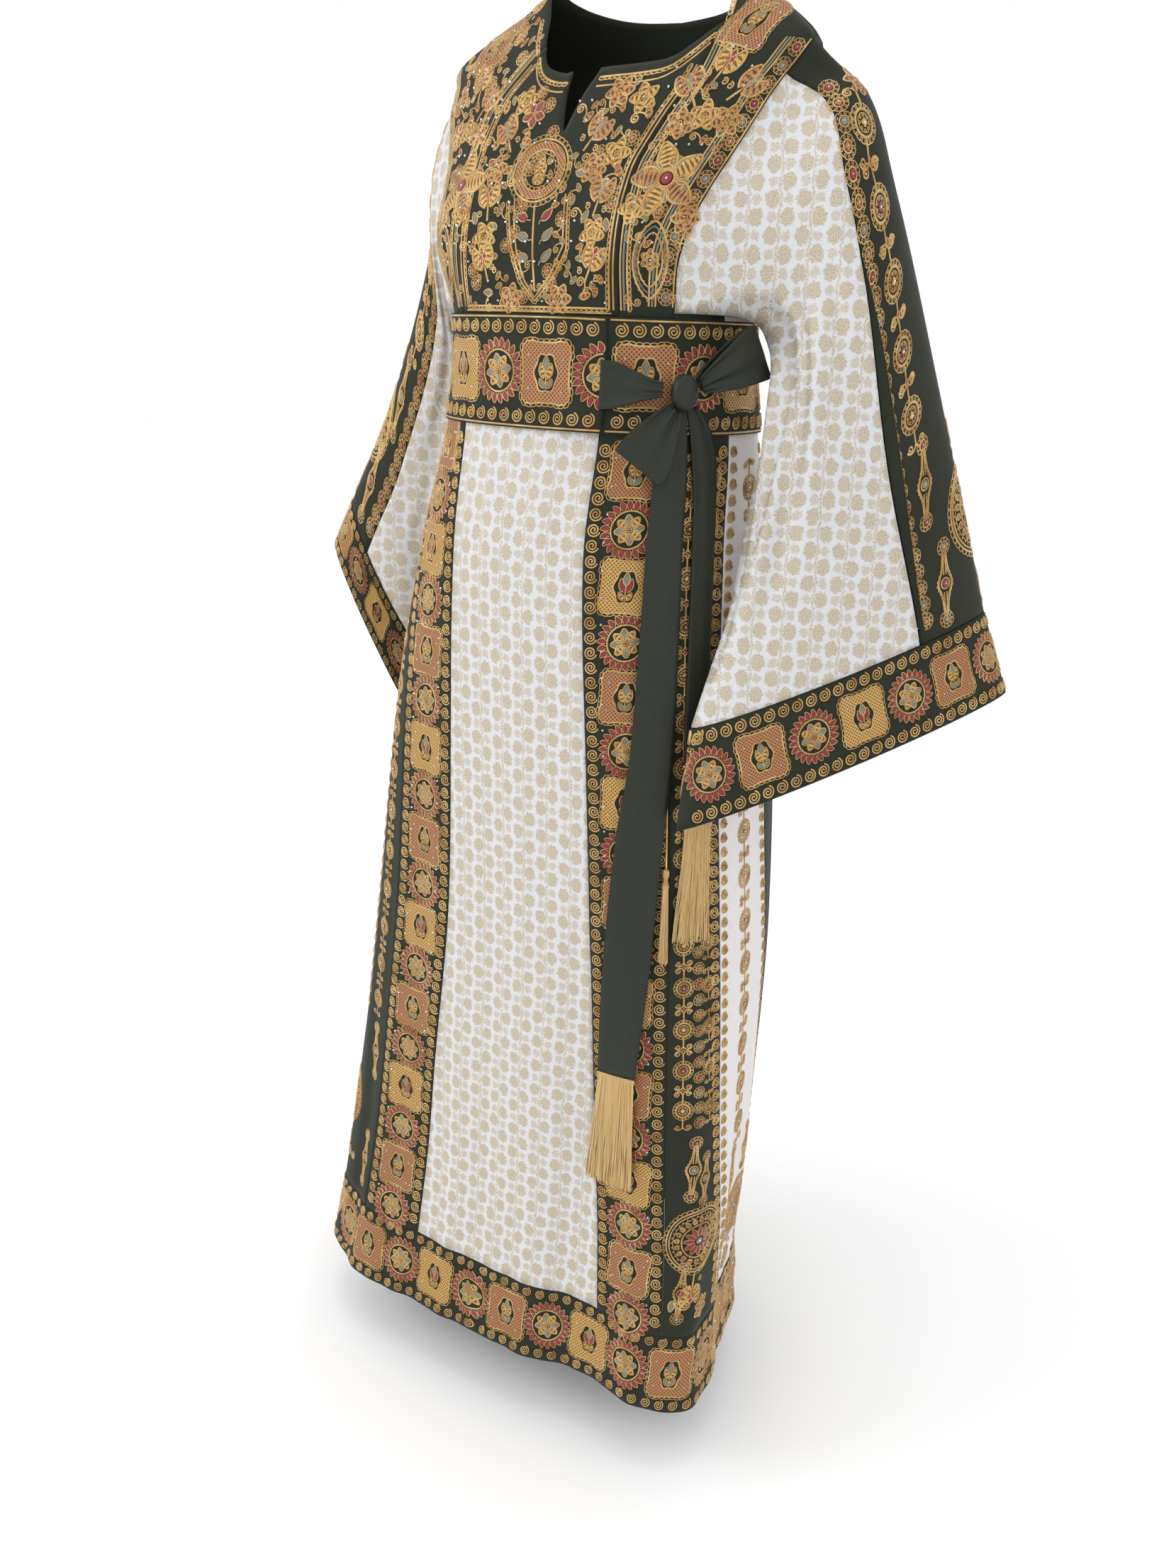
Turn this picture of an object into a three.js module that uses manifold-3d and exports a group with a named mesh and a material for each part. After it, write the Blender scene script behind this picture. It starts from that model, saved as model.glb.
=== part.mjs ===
import * as THREE from "three";
import Module from "manifold-3d";

// Millimetres. Origin at the neck, at shoulder height; +X the wearer's left, -Y the front, +Z up.
const GAP = 0.3; // between pieces sewn together
const CLOTH = 1.5; // brocade, crepe and satin with their seams
const STITCHED = 2.0; // cloth stiffened by couched cord
const BELT_CLOTH = 2.4; // belt with its canvas inside
const BELT_TOP = -303.5;
const BELT_FOOT = -405;
const WAIST_FRONT = -306; // seam under the belt between chest and skirt
const WAIST_SIDE = -299;
const HEM_TOP = -1338; // seam of the hem band
const HEM = -1420;
const SLIT_FOOT = -147; // end of the neck slit

// Rings of the worn body: half width, depth to front and back, squareness, front wider by, shift in x.
const RINGS = [
  // z, half, front, back, square, taper, shift
  [0, 78, 20, 58, 2.0, 0, 22],
  [-35, 140, 34, 76, 2.0, 0, 18],
  [-69, 193, 54, 90, 2.1, 0, 6],
  [-95, 194, 69, 95, 2.2, 0, 3],
  [-120, 192, 83, 100, 2.3, 0, 0],
  [-180, 178, 106, 104, 2.4, 0, -1],
  [-240, 165, 120, 100, 2.4, 0, -3],
  [-305, 152, 130, 95, 2.3, 0, -4],
  [-405, 162, 135, 100, 2.4, 0, -4],
  [-520, 184, 150, 125, 2.5, 0, -9],
  [-700, 207, 157, 150, 2.7, 0.05, -16],
  [-950, 228, 158, 150, 2.9, 0.15, -16],
  [-1200, 240, 164, 150, 3.0, 0.3, -18],
  [-1338, 238, 183, 148, 3.2, 0.38, -18],
  [-1420, 244, 202, 148, 3.3, 0.4, -14],
];

// Soft folds of the skirt: angle from the front, half width, depth at the hem, height where each starts.
const FOLDS = [
  // angle, spread, depth, from
  [14, 13, -24, -900],
  [-20, 11, 9, -900],
  [3, 6, 5, -420],
  [-62, 9, -9, -600],
  [66, 8, -6, -600],
  [96, 16, -15, -950],
  [132, 12, 8, -560],
  [160, 12, 12, -560],
  [-172, 11, -12, -560],
  [-144, 12, 12, -560],
  [-112, 12, -12, -560],
];

// Seams as arc length from the centre front, by height.
const SEAMS = {
  // z, arc
  chestLeft: [[-56, 124], [-88, 121], [-112, 117], [-136, 106], [-158, 97], [-180, 90], [-252, 90], [-306, 91]],
  chestRight: [[-68, 58], [-108, 84], [-150, 97], [-180, 99], [-232, 95], [-306, 91]],
  arm: [[-69, 0], [-102, 196], [-134, 184], [-194, 161], [-250, 145], [-299, 141], [-306, 141]],
  frontRight: [[-306, -88], [-405, -84], [-520, -77], [-700, -64], [-900, -66], [-1118, -84], [-1338, -93]],
  bandRight: [[-306, -141], [-405, -160], [-520, -164], [-700, -146], [-900, -148], [-1118, -166], [-1338, -176]],
  frontLeft: [[-306, 78], [-405, 78], [-520, 81], [-710, 103], [-924, 118], [-1140, 132], [-1338, 154]],
  bandLeft: [[-306, 141], [-405, 153], [-520, 165], [-710, 186], [-924, 200], [-1140, 214], [-1338, 236]],
  goreNear: [[-299, 200], [-405, 212], [-520, 224], [-782, 249], [-956, 265], [-1146, 287], [-1338, 328]],
  goreFar: [[-299, 268], [-405, 290], [-520, 310], [-810, 347], [-1002, 381], [-1338, 445]],
};

// Outer, inner edge points and the depth of the flattened sleeve, at stations down the sleeve.
const SLEEVES = {
  l: {
    rings: [
      // station, outer x y z, inner x y z, front, back
      [0.13, 242, 31, -117, 178, -8, -314, 60, 44],
      [0.33, 264, 50, -193, 206, -34, -360, 52, 40],
      [0.67, 306, 95, -358, 203, -78, -530, 48, 40],
      [1, 367, 128, -565, 190, -127, -664, 42, 36],
      [2, 402, 121, -640, 189, -143, -762, 44, 38],
    ],
    facing: [0.5, -0.85, 0],
  },
  r: {
    rings: [
      [0.13, -205, 6, -129, -172, 8, -321, 52, 43],
      [0.33, -231, -2, -241, -180, 19, -401, 47, 41],
      [0.67, -284, -10, -394, -222, 20, -560, 48, 40],
      [1, -336, -26, -509, -248, 14, -700, 50, 40],
      [2, -353, -42, -562, -254, -2, -778, 52, 42],
    ],
    facing: [0.1, -1, 0],
  },
};
// Angle on the sleeve's ring of the seam between outer panel and brocade.
const PANEL_ANGLE = [[0, 20], [0.06, 38], [0.14, 58], [0.22, 70], [0.33, 82], [0.67, 77], [1, 66], [2, 60]];

const ARM_ROWS = [-10, -30, -48, -69, -86, -102, -125, -155, -190, -225, -262, WAIST_SIDE];
const YOKE_ROWS = [-56, -62, -70, -80, -94, -112, -136, -164, -196, -228, -260, -290, WAIST_FRONT];

// Neckline height by share of the way from the centre to the chest seam.
const NECKLINES = {
  l: [[0, -93], [0.36, -92], [0.56, -91], [0.75, -87], [0.9, -71], [1, -56]],
  r: [[0, -94], [0.24, -95], [0.6, -87], [1, -68]],
};
const BACK_NECK = [[0, -32], [0.4, -29], [0.7, -22], [1, ARM_ROWS[0]]];

// The bust, as bumps on the rings.
const BUST = [
  // angle, height, spread in degrees, spread in z, depth
  [38, -236, 24, 62, 20],
  [-38, -236, 24, 62, 20],
];

const GREEN = new THREE.MeshStandardMaterial({ name: "green_crepe", color: 0x2b3026, roughness: 0.75 });
const SASH = new THREE.MeshStandardMaterial({ name: "green_satin", color: 0x343a2e, roughness: 0.55 });
const BROCADE = new THREE.MeshStandardMaterial({ name: "ivory_brocade", color: 0xded5c4, roughness: 0.6 });
const SATIN = new THREE.MeshStandardMaterial({ name: "white_satin", color: 0xe9e7e6, roughness: 0.5 });
const GOLD = new THREE.MeshStandardMaterial({ name: "gold_thread", color: 0xc9a45c, roughness: 0.5 });

const wasm = await Module();
wasm.setup();

const part = new THREE.Group();
part.name = "embroidered_thobe";

const rad = THREE.MathUtils.degToRad;
const lerp = THREE.MathUtils.lerp;
const clamp = THREE.MathUtils.clamp;
const vec = (x, y, z) => new THREE.Vector3(x, y, z);

// A table's columns at a key, as a smooth curve through its rows.
function lookup(rows, key) {
  const up = rows[1][0] > rows[0][0] ? 1 : -1;
  const last = rows.length - 1;
  const at = clamp(key * up, rows[0][0] * up, rows[last][0] * up);
  let i = 0;
  while (i < last - 1 && rows[i + 1][0] * up < at) {
    i += 1;
  }
  const a = rows[i];
  const b = rows[i + 1];
  const h = (b[0] - a[0]) * up;
  const t = (at - a[0] * up) / h;
  return a.slice(1).map((_, k) => {
    const c = k + 1;
    const slope = (p, q) => (rows[q][c] - rows[p][c]) / ((rows[q][0] - rows[p][0]) * up);
    const ma = slope(Math.max(i - 1, 0), i + 1) * h;
    const mb = slope(i, Math.min(i + 2, last)) * h;
    const t2 = t * t;
    const t3 = t2 * t;
    return (2 * t3 - 3 * t2 + 1) * a[c] + (t3 - 2 * t2 + t) * ma + (3 * t2 - 2 * t3) * b[c] + (t3 - t2) * mb;
  });
}

function foldDepth(angle, z) {
  let sum = 0;
  for (const [at, spread, depth, from] of FOLDS) {
    const off = ((((angle - rad(at)) % (2 * Math.PI)) + 3 * Math.PI) % (2 * Math.PI)) - Math.PI;
    const grow = clamp((from - z) / (from - HEM), 0, 1);
    sum += depth * grow * Math.exp(-((off / rad(spread)) ** 2));
  }
  for (const [at, height, spread, tall, depth] of BUST) {
    sum += depth * Math.exp(-(((angle - rad(at)) / rad(spread)) ** 2) - ((z - height) / tall) ** 2);
  }
  return sum;
}

function ringPoint(angle, z) {
  const [half, front, back, square, taper, shift] = lookup(RINGS, z);
  const power = 2 / square;
  const s = Math.sin(angle);
  const c = Math.cos(angle);
  const fold = foldDepth(angle, z);
  const x = shift + half * (1 + taper * c) * Math.sign(s) * Math.abs(s) ** power;
  const y = -(c > 0 ? front : back) * Math.sign(c) * Math.abs(c) ** power;
  return vec(x + fold * s, y - fold * c, z);
}

const ARC_STEPS = 360;
const arcs = new Map();

// Arc length along one ring, from the centre front, for each step of the angle.
function arcTable(z) {
  const key = z.toFixed(3);
  if (!arcs.has(key)) {
    const sum = [0];
    let before = ringPoint(-Math.PI, z);
    for (let i = 1; i <= ARC_STEPS; i++) {
      const here = ringPoint(-Math.PI + (i / ARC_STEPS) * 2 * Math.PI, z);
      sum.push(sum[i - 1] + here.distanceTo(before));
      before = here;
    }
    const middle = sum[ARC_STEPS / 2];
    arcs.set(key, sum.map((value) => value - middle));
  }
  return arcs.get(key);
}

function angleOf(arc, z) {
  const table = arcTable(z);
  const span = table[ARC_STEPS] - table[0];
  let value = arc;
  let turns = 0;
  while (value > table[ARC_STEPS]) {
    value -= span;
    turns += 1;
  }
  while (value < table[0]) {
    value += span;
    turns -= 1;
  }
  let low = 0;
  let high = ARC_STEPS;
  while (high - low > 1) {
    const middle = (low + high) >> 1;
    if (table[middle] <= value) {
      low = middle;
    } else {
      high = middle;
    }
  }
  const t = (value - table[low]) / (table[high] - table[low]);
  return -Math.PI + ((low + t) / ARC_STEPS + turns) * 2 * Math.PI;
}

function arcOf(angle, z) {
  const table = arcTable(z);
  const at = ((angle + Math.PI) / (2 * Math.PI)) * ARC_STEPS;
  const low = clamp(Math.floor(at), 0, ARC_STEPS - 1);
  return lerp(table[low], table[low + 1], at - low);
}

const roundOf = (z) => {
  const table = arcTable(z);
  return table[ARC_STEPS] - table[0];
};

// The body's surface by arc length and height: a point and the direction out of the cloth.
function surface(arc, z, level = true) {
  const e = 0.6;
  const angle = angleOf(arc, z);
  const p = ringPoint(angle, z);
  const along = ringPoint(angle + 0.01, z).sub(ringPoint(angle - 0.01, z));
  if (level) {
    return { p, n: vec(along.y, -along.x, 0).normalize() };
  }
  const down = ringPoint(angle, z - e).sub(ringPoint(angle, z + e));
  return { p, n: down.cross(along).normalize() };
}

// A closed shell from a grid of outer points with their directions; cells that are off are left open.
function shellOf(grid, thick, on = () => true) {
  const rows = grid.length;
  const cols = grid[0].length;
  const points = [];
  for (const row of grid) {
    for (const { p } of row) {
      points.push(p);
    }
  }
  const inner = points.length;
  for (const row of grid) {
    for (const { p, n } of row) {
      points.push(p.clone().addScaledVector(n, -thick));
    }
  }
  const at = (i, j) => i * cols + j;
  const live = (i, j) => i >= 0 && j >= 0 && i < rows - 1 && j < cols - 1 && on(i, j);
  const faces = [];
  const quad = (a, b, c, d) => faces.push(a, b, c, a, c, d);
  for (let i = 0; i < rows - 1; i++) {
    for (let j = 0; j < cols - 1; j++) {
      if (!live(i, j)) {
        continue;
      }
      const [a, b, c, d] = [at(i, j), at(i + 1, j), at(i + 1, j + 1), at(i, j + 1)];
      quad(a, b, c, d);
      quad(c + inner, b + inner, a + inner, d + inner);
      if (!live(i - 1, j)) {
        quad(a, d, d + inner, a + inner);
      }
      if (!live(i + 1, j)) {
        quad(c, b, b + inner, c + inner);
      }
      if (!live(i, j - 1)) {
        quad(b, a, a + inner, b + inner);
      }
      if (!live(i, j + 1)) {
        quad(d, c, c + inner, d + inner);
      }
    }
  }
  return [points, faces];
}

// Points that no face uses are left out.
function compact(points, faces) {
  const used = [...new Set(faces)].sort((a, b) => a - b);
  const place = new Map(used.map((old, k) => [old, k]));
  return [used.map((k) => points[k]), faces.map((k) => place.get(k))];
}

function wall(name, grid, thick, material, on) {
  add(name, ...compact(...shellOf(grid, thick, on)), material);
}

function add(name, points, faces, material) {
  const geometry = new THREE.BufferGeometry();
  geometry.setAttribute("position", new THREE.Float32BufferAttribute(points.flatMap((p) => [p.x, p.y, p.z]), 3));
  geometry.setIndex(faces);
  geometry.computeVertexNormals();
  const mesh = new THREE.Mesh(geometry, material);
  mesh.name = name;
  part.add(mesh);
}

const seam = (name, z) => lookup(SEAMS[name], z)[0];
const steps = (from, to, count) => Array.from({ length: count + 1 }, (_, i) => lerp(from, to, i / count));

// ---- Skirt ----

// A panel between two seams, given as functions of the height.
function skirtPanel(name, left, right, top, cols, thick, material) {
  const rows = [top, -325, -350, -378, -405, -470, -540, -620, -710, -810, -910, -1010, -1110, -1210, HEM_TOP + GAP / 2];
  const grid = rows.map((z) => {
    const [from, to] = [left(z) + GAP / 2, right(z) - GAP / 2];
    return steps(from, to, cols).map((arc) => surface(arc, z));
  });
  wall(name, grid, thick, material);
}

const FRONT_TOP = WAIST_FRONT - GAP;
const SIDE_TOP = WAIST_SIDE - GAP;
const mirrored = (name) => (z) => roundOf(z) - seam(name, z);
skirtPanel("front_panel", (z) => seam("frontRight", z), (z) => seam("frontLeft", z), FRONT_TOP, 8, CLOTH, BROCADE);
skirtPanel("front_band_r", (z) => seam("bandRight", z), (z) => seam("frontRight", z), FRONT_TOP, 3, STITCHED, GREEN);
skirtPanel("front_band_l", (z) => seam("frontLeft", z), (z) => seam("bandLeft", z), FRONT_TOP, 3, STITCHED, GREEN);
skirtPanel("side_panel_l", (z) => seam("bandLeft", z), (z) => seam("goreNear", z), SIDE_TOP, 4, STITCHED, GREEN);
skirtPanel("side_panel_r", (z) => -seam("goreNear", z), (z) => seam("bandRight", z), SIDE_TOP, 5, STITCHED, GREEN);
skirtPanel("side_gore_l", (z) => seam("goreNear", z), (z) => seam("goreFar", z), SIDE_TOP, 6, CLOTH, SATIN);
skirtPanel("side_gore_r", (z) => -seam("goreFar", z), (z) => -seam("goreNear", z), SIDE_TOP, 6, CLOTH, SATIN);
skirtPanel("back_panel", (z) => seam("goreFar", z), mirrored("goreFar"), SIDE_TOP, 18, CLOTH, GREEN);

function hemBand(name, from, to, cols) {
  const grid = [HEM_TOP - GAP / 2, HEM].map((z) => {
    const [a, b] = [from(z) + GAP / 2, to(z) - GAP / 2];
    return steps(a, b, cols).map((arc) => surface(arc, z));
  });
  wall(name, grid, STITCHED, GREEN);
}
hemBand("hem_band_front", (z) => arcOf(-Math.PI / 2, z), (z) => arcOf(Math.PI / 2, z), 30);
hemBand("hem_band_back", (z) => arcOf(Math.PI / 2, z), (z) => roundOf(z) + arcOf(-Math.PI / 2, z), 30);

// ---- Bodice ----

// Where the front arm seam runs; above the shoulder tip it is the shoulder seam itself.
function armArc(side, z) {
  const shoulder = side * arcOf((side * Math.PI) / 2, z);
  if (z > ARM_ROWS[3] - 1e-6) {
    return shoulder;
  }
  const low = lookup(SEAMS.arm.slice(1), z)[0];
  const t = clamp((ARM_ROWS[3] - z) / (ARM_ROWS[3] - SEAMS.arm[1][0]), 0, 1);
  return lerp(side * arcOf((side * Math.PI) / 2, ARM_ROWS[3]), low, t);
}

const CHEST_COLS = [1, 0.8, 0.62, 0.43, 0.24];
const rowShares = YOKE_ROWS.map((row) => (row - YOKE_ROWS[0]) / (WAIST_FRONT - YOKE_ROWS[0]));
const chestSeam = (side, z) => (side > 0 ? seam("chestLeft", z) : seam("chestRight", z));
const neckline = (side, u) => lookup(side > 0 ? NECKLINES.l : NECKLINES.r, u)[0];

// Half the chest panel in one row, from the seam to the slit.
function chestRow(side, t) {
  const at = (u) => lerp(neckline(side, u), WAIST_FRONT, t);
  const line = CHEST_COLS.map((u) => surface(side * u * (chestSeam(side, at(u)) - GAP), at(u), false));
  const spread = clamp((at(0) - SLIT_FOOT) / 53, 0, 1);
  return [...line, surface(side > 0 ? lerp(4, 20, spread) : lerp(2, -11, spread), at(0), false)];
}
const chestGrid = rowShares.map((t) => [...chestRow(-1, t), ...chestRow(1, t).reverse()]);
const slitRows = rowShares.filter((t) => lerp(neckline(1, 0), WAIST_FRONT, t) > SLIT_FOOT + 1).length;
wall("chest_panel", chestGrid, STITCHED, GREEN, (i, j) => !(j === CHEST_COLS.length && i < slitRows));

function yoke(name, side) {
  const rows = [...ARM_ROWS, WAIST_FRONT];
  const grid = rows.map((armZ, i) =>
    steps(0, 1, 5).map((u) => {
      const inner = lerp(neckline(side, 1), WAIST_FRONT, rowShares[i]);
      const z = lerp(inner, armZ, u);
      const from = chestSeam(side, inner) + 1.4 * GAP;
      const to = armArc(side, armZ) - GAP / 2;
      return surface(side * lerp(from, to, u), z, false);
    }),
  );
  wall(name, side > 0 ? grid : grid.map((row) => row.reverse()), STITCHED, GREEN);
}
yoke("yoke_l", 1);
yoke("yoke_r", -1);

// The arm seam behind mirrors the one in front, by its share of the way round.
const backArc = (side, z) => {
  const half = roundOf(z) / 2;
  const shoulder = side * arcOf((side * Math.PI) / 2, z);
  return half - (armArc(side, z) * (half - shoulder)) / shoulder;
};

const backGrid = ARM_ROWS.map((row) => {
  const t = (row - ARM_ROWS[0]) / (WAIST_SIDE - ARM_ROWS[0]);
  return steps(-1, 1, 12).map((u) => {
    const z = lerp(lookup(BACK_NECK, Math.abs(u))[0], WAIST_SIDE, t);
    const half = roundOf(z) / 2;
    const reach = roundOf(row) / 2 - backArc(u < 0 ? 1 : -1, row) - GAP / 2;
    return surface(half + u * reach, z, false);
  });
});
wall("back_bodice", backGrid, CLOTH, GREEN);

// ---- Sleeves ----

// The root of a sleeve: a loop of points on the body, from the shoulder tip down the front, along the
// waist and up the back, each with the cloth's direction and the way the sleeve sets off.
function rootLoop(side) {
  const armRows = ARM_ROWS.slice(3);
  const place = (arc, z) => surface(side * arc, z, false);
  const front = armRows.map((z) => place(armArc(side, z) + ROOT_GAP, z));
  front[0] = place(armArc(side, armRows[0]), armRows[0] - TIP_DROP);
  const back = armRows.map((z) => place(backArc(side, z) - ROOT_GAP, z));
  const sideArc = side * arcOf((side * Math.PI) / 2, WAIST_SIDE);
  const waist = (from, t) => place(lerp(from(side, WAIST_SIDE), sideArc, t), WAIST_SIDE);
  const waistFront = [1 / 3, 2 / 3, 1].map((t) => waist(armArc, t));
  const waistBack = [1 / 3, 2 / 3].map((t) => waist(backArc, t));
  const loop = [...front, ...waistFront, ...waistBack.reverse(), ...back.slice(1).reverse()];
  const count = loop.length;
  const corner = armRows.length - 1;
  loop.forEach((item, k) => {
    const before = loop[(k + count - 1) % count].p;
    const after = loop[(k + 1) % count].p;
    const along = after.clone().sub(before).normalize();
    const across = along.clone().cross(item.n).multiplyScalar(-side);
    const level = vec(item.n.x, item.n.y, 0).normalize();
    const low = k > corner && k < count - corner;
    const edge = k === corner || k === count - corner;
    item.go = low ? level : edge ? across.add(level).normalize() : across.normalize();
    item.out = low ? vec(0, 0, -1) : edge ? item.n.clone().add(vec(0, 0, -1)).normalize() : item.n;
  });
  return loop;
}

// A smooth curve through points at their stations, leaving the first one along a given direction.
function along(knots, at, start, station) {
  const last = knots.length - 1;
  let i = 0;
  while (i < last - 1 && at[i + 1] < station) {
    i += 1;
  }
  const h = at[i + 1] - at[i];
  const t = (station - at[i]) / h;
  const tangent = (k) => {
    if (k === 0) {
      return start.clone().multiplyScalar(knots[1].distanceTo(knots[0]) * 0.9);
    }
    const [from, to] = [k - 1, Math.min(k + 1, last)];
    return knots[to].clone().sub(knots[from]).multiplyScalar(h / (at[to] - at[from]));
  };
  const t2 = t * t;
  const t3 = t2 * t;
  return vec(0, 0, 0)
    .addScaledVector(knots[i], 2 * t3 - 3 * t2 + 1)
    .addScaledVector(tangent(i), t3 - 2 * t2 + t)
    .addScaledVector(knots[i + 1], 3 * t2 - 2 * t3)
    .addScaledVector(tangent(i + 1), t3 - t2);
}

// The outer panel takes the root's points within two seam rows of the shoulder tip; each of its two
// seams runs down at PANEL_ANGLE, and the brocade is the rest of the way round.
const PANEL_COLS = 8;
const ROOT_ROWS = 2;
const SLEEVE_ROWS = [0, 0.04, 0.09, 0.15, 0.22, 0.3, 0.39, 0.48, 0.58, 0.68, 0.79, 0.9, 1];
const SLEEVE_INSET = 0.5; // each side of a seam down the sleeve, where the cloth turns most
const ROOT_GAP = 0.4; // from the middle of the arm seam to the sleeve
const TIP_DROP = 2; // from the shoulder tip down to the sleeve's first point
const CUFF = 2; // station of the cuff's edge; the cuff starts at station 1

function sleeve(side, tag, shape) {
  const loop = rootLoop(side);
  const count = loop.length;
  const facing = vec(...shape.facing);
  const brocadeCols = count - 2 * ROOT_ROWS;
  const wrap = (k) => ((k % count) + count) % count;
  const rootAt = (panel, u) => {
    const k = panel ? lerp(-ROOT_ROWS, ROOT_ROWS, u) : lerp(ROOT_ROWS, count - ROOT_ROWS, u);
    const a = loop[wrap(Math.floor(k))];
    const b = loop[wrap(Math.floor(k) + 1)];
    const mix = (key) => a[key].clone().lerp(b[key], k - Math.floor(k));
    return { p: mix("p"), n: mix("out").normalize(), go: mix("go").normalize() };
  };
  const rings = shape.rings.map(([station, ox, oy, oz, ix, iy, iz, front, back]) => {
    const outer = vec(ox, oy, oz);
    const middle = outer.clone().add(vec(ix, iy, iz)).multiplyScalar(0.5);
    return { station, half: outer.sub(middle), front, back, middle };
  });
  const rootMiddle = loop[0].p.clone().lerp(loop[count / 2].p, 0.5);
  rings.forEach((ring, k) => {
    const before = k > 0 ? rings[k - 1].middle : rootMiddle;
    const after = rings[Math.min(k + 1, rings.length - 1)].middle;
    const deep = ring.half.clone().cross(after.clone().sub(before)).normalize();
    ring.deep = deep.multiplyScalar(Math.sign(deep.dot(facing)));
  });
  const onRing = (ring, angle) => {
    const depth = Math.sin(angle) > 0 ? ring.front : ring.back;
    const p = ring.middle.clone().addScaledVector(ring.half, Math.cos(angle));
    return p.addScaledVector(ring.deep, depth * Math.sin(angle));
  };
  const arm = rings.slice(0, -1);
  const stations = [0, ...arm.map((ring) => ring.station)];
  const point = (panel, u, station) => {
    const edge = rad(lookup(PANEL_ANGLE, station)[0]);
    const angle = panel ? lerp(-edge, edge, u) : lerp(edge, 2 * Math.PI - edge, u);
    if (station > 1) {
      return onRing(arm[arm.length - 1], angle).lerp(onRing(rings[rings.length - 1], angle), station - 1);
    }
    const root = rootAt(panel, u);
    return along([root.p, ...arm.map((ring) => onRing(ring, angle))], stations, root.go, station);
  };
  // Both pieces at a seam take the direction from the points on its two sides.
  const outward = (panel, u, station) => {
    const e = 0.02;
    const before = u < e ? point(!panel, 1 - e, station) : point(panel, u - e, station);
    const after = u > 1 - e ? point(!panel, e, station) : point(panel, u + e, station);
    const here = point(panel, u, station);
    const across = after.sub(here).normalize().add(here.clone().sub(before).normalize());
    const above = here.clone().sub(point(panel, u, Math.max(station - e, 0)));
    const below = point(panel, u, Math.min(station + e, CUFF)).sub(here);
    const down = above.normalize().add(below.normalize());
    const own = across.cross(down).multiplyScalar(side).normalize();
    const blend = clamp(station / 0.06, 0, 1);
    return rootAt(panel, u).n.lerp(own, blend).normalize();
  };
  const shell = (name, columns, rows, thick, material) => {
    const grid = rows.map((station) => {
      const line = columns.map(([panel, u]) => ({ p: point(panel, u, station), n: outward(panel, u, station) }));
      const last = line.length - 1;
      const pull = (a, b) => line[b].p.clone().sub(line[a].p).setLength(SLEEVE_INSET);
      const [first, end] = [pull(0, 1), pull(last, last - 1)];
      line[0].p.add(first);
      line[last].p.add(end);
      return side > 0 ? line.reverse() : line;
    });
    wall(name, grid, thick, material);
  };
  const panelCols = steps(0, 1, PANEL_COLS).map((u) => [true, u]);
  const brocade = steps(0, 1, brocadeCols).map((u) => [false, u]);
  const lengthAt = (from, to) => point(true, 0.5, from).distanceTo(point(true, 0.5, to)) / (to - from);
  const body = [...SLEEVE_ROWS.slice(0, -1), 1 - GAP / 2 / lengthAt(0.98, 1)];
  shell(`sleeve_${tag}_outer`, panelCols, body, STITCHED, GREEN);
  shell(`sleeve_${tag}_brocade`, brocade, body, CLOTH, BROCADE);
  const cuff = [1 + GAP / 2 / lengthAt(1.01, CUFF), CUFF];
  const [panelHalf, brocadeHalf] = [PANEL_COLS / 2, brocadeCols / 2];
  const front = [...panelCols.slice(panelHalf), ...brocade.slice(1, brocadeHalf + 1)];
  const back = [...brocade.slice(brocadeHalf), ...panelCols.slice(1, panelHalf + 1)];
  shell(`cuff_${tag}_front`, front, cuff, STITCHED, GREEN);
  shell(`cuff_${tag}_back`, back, cuff, STITCHED, GREEN);
}

sleeve(1, "l", SLEEVES.l);
sleeve(-1, "r", SLEEVES.r);

// ---- Belt ----

const REST = 0.8; // between a piece and what it lies on
const OVERLAP = { end: 81, from: 50, lift: 30 };

// A piece standing off the body by a distance that may change along it.
function onBody(arc, z, off) {
  const here = surface(arc, z);
  return { p: here.p.addScaledVector(here.n, off), n: here.n };
}

function beltPiece(name, from, to, cols, off) {
  const grid = [BELT_TOP, -325, -350, -378, BELT_FOOT].map((z) =>
    steps(from(z), to(z), cols).map((arc) => onBody(arc, z, off(arc) + BELT_CLOTH)),
  );
  wall(name, grid, BELT_CLOTH, GREEN);
}
const lifted = (arc) => {
  const t = clamp((arc - OVERLAP.lift) / (OVERLAP.from - OVERLAP.lift - 4), 0, 1);
  return REST + (BELT_CLOTH + REST) * t * t * (3 - 2 * t);
};
const sideRight = (z) => arcOf(-Math.PI / 2, z);
beltPiece("belt_front", (z) => sideRight(z) + GAP / 2, () => OVERLAP.end, 26, lifted);
beltPiece("belt_back", () => OVERLAP.from, (z) => roundOf(z) + sideRight(z) - GAP / 2, 52, () => REST);

// ---- Sash, tied in a bow over the belt ----

const KNOT = { arc: 146, z: -366, off: 21 };
const SATIN_FOLD = 1.6; // satin with its raw edges turned in
const TAIL_CLOTH = 2.0; // two layers, pressed flat

// A shell through rows of points; the directions come from the grid itself.
function ribbon(name, rows, thick, material) {
  const at = (i, j) => rows[clamp(i, 0, rows.length - 1)][clamp(j, 0, rows[0].length - 1)];
  const grid = rows.map((row, i) =>
    row.map((p, j) => {
      const down = at(i + 1, j).clone().sub(at(i - 1, j));
      const across = at(i, j + 1).clone().sub(at(i, j - 1));
      return { p, n: down.cross(across).normalize() };
    }),
  );
  wall(name, grid, thick, material);
}

// The bow's own frame: along the belt, up and out, from the point of the body behind the knot.
const knotPlace = surface(KNOT.arc, KNOT.z);
const bowAlong = vec(-knotPlace.n.y, knotPlace.n.x, 0);
function inBow(along1, up, out) {
  return knotPlace.p
    .clone()
    .addScaledVector(bowAlong, along1)
    .addScaledVector(knotPlace.n, out)
    .add(vec(0, 0, up));
}

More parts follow.
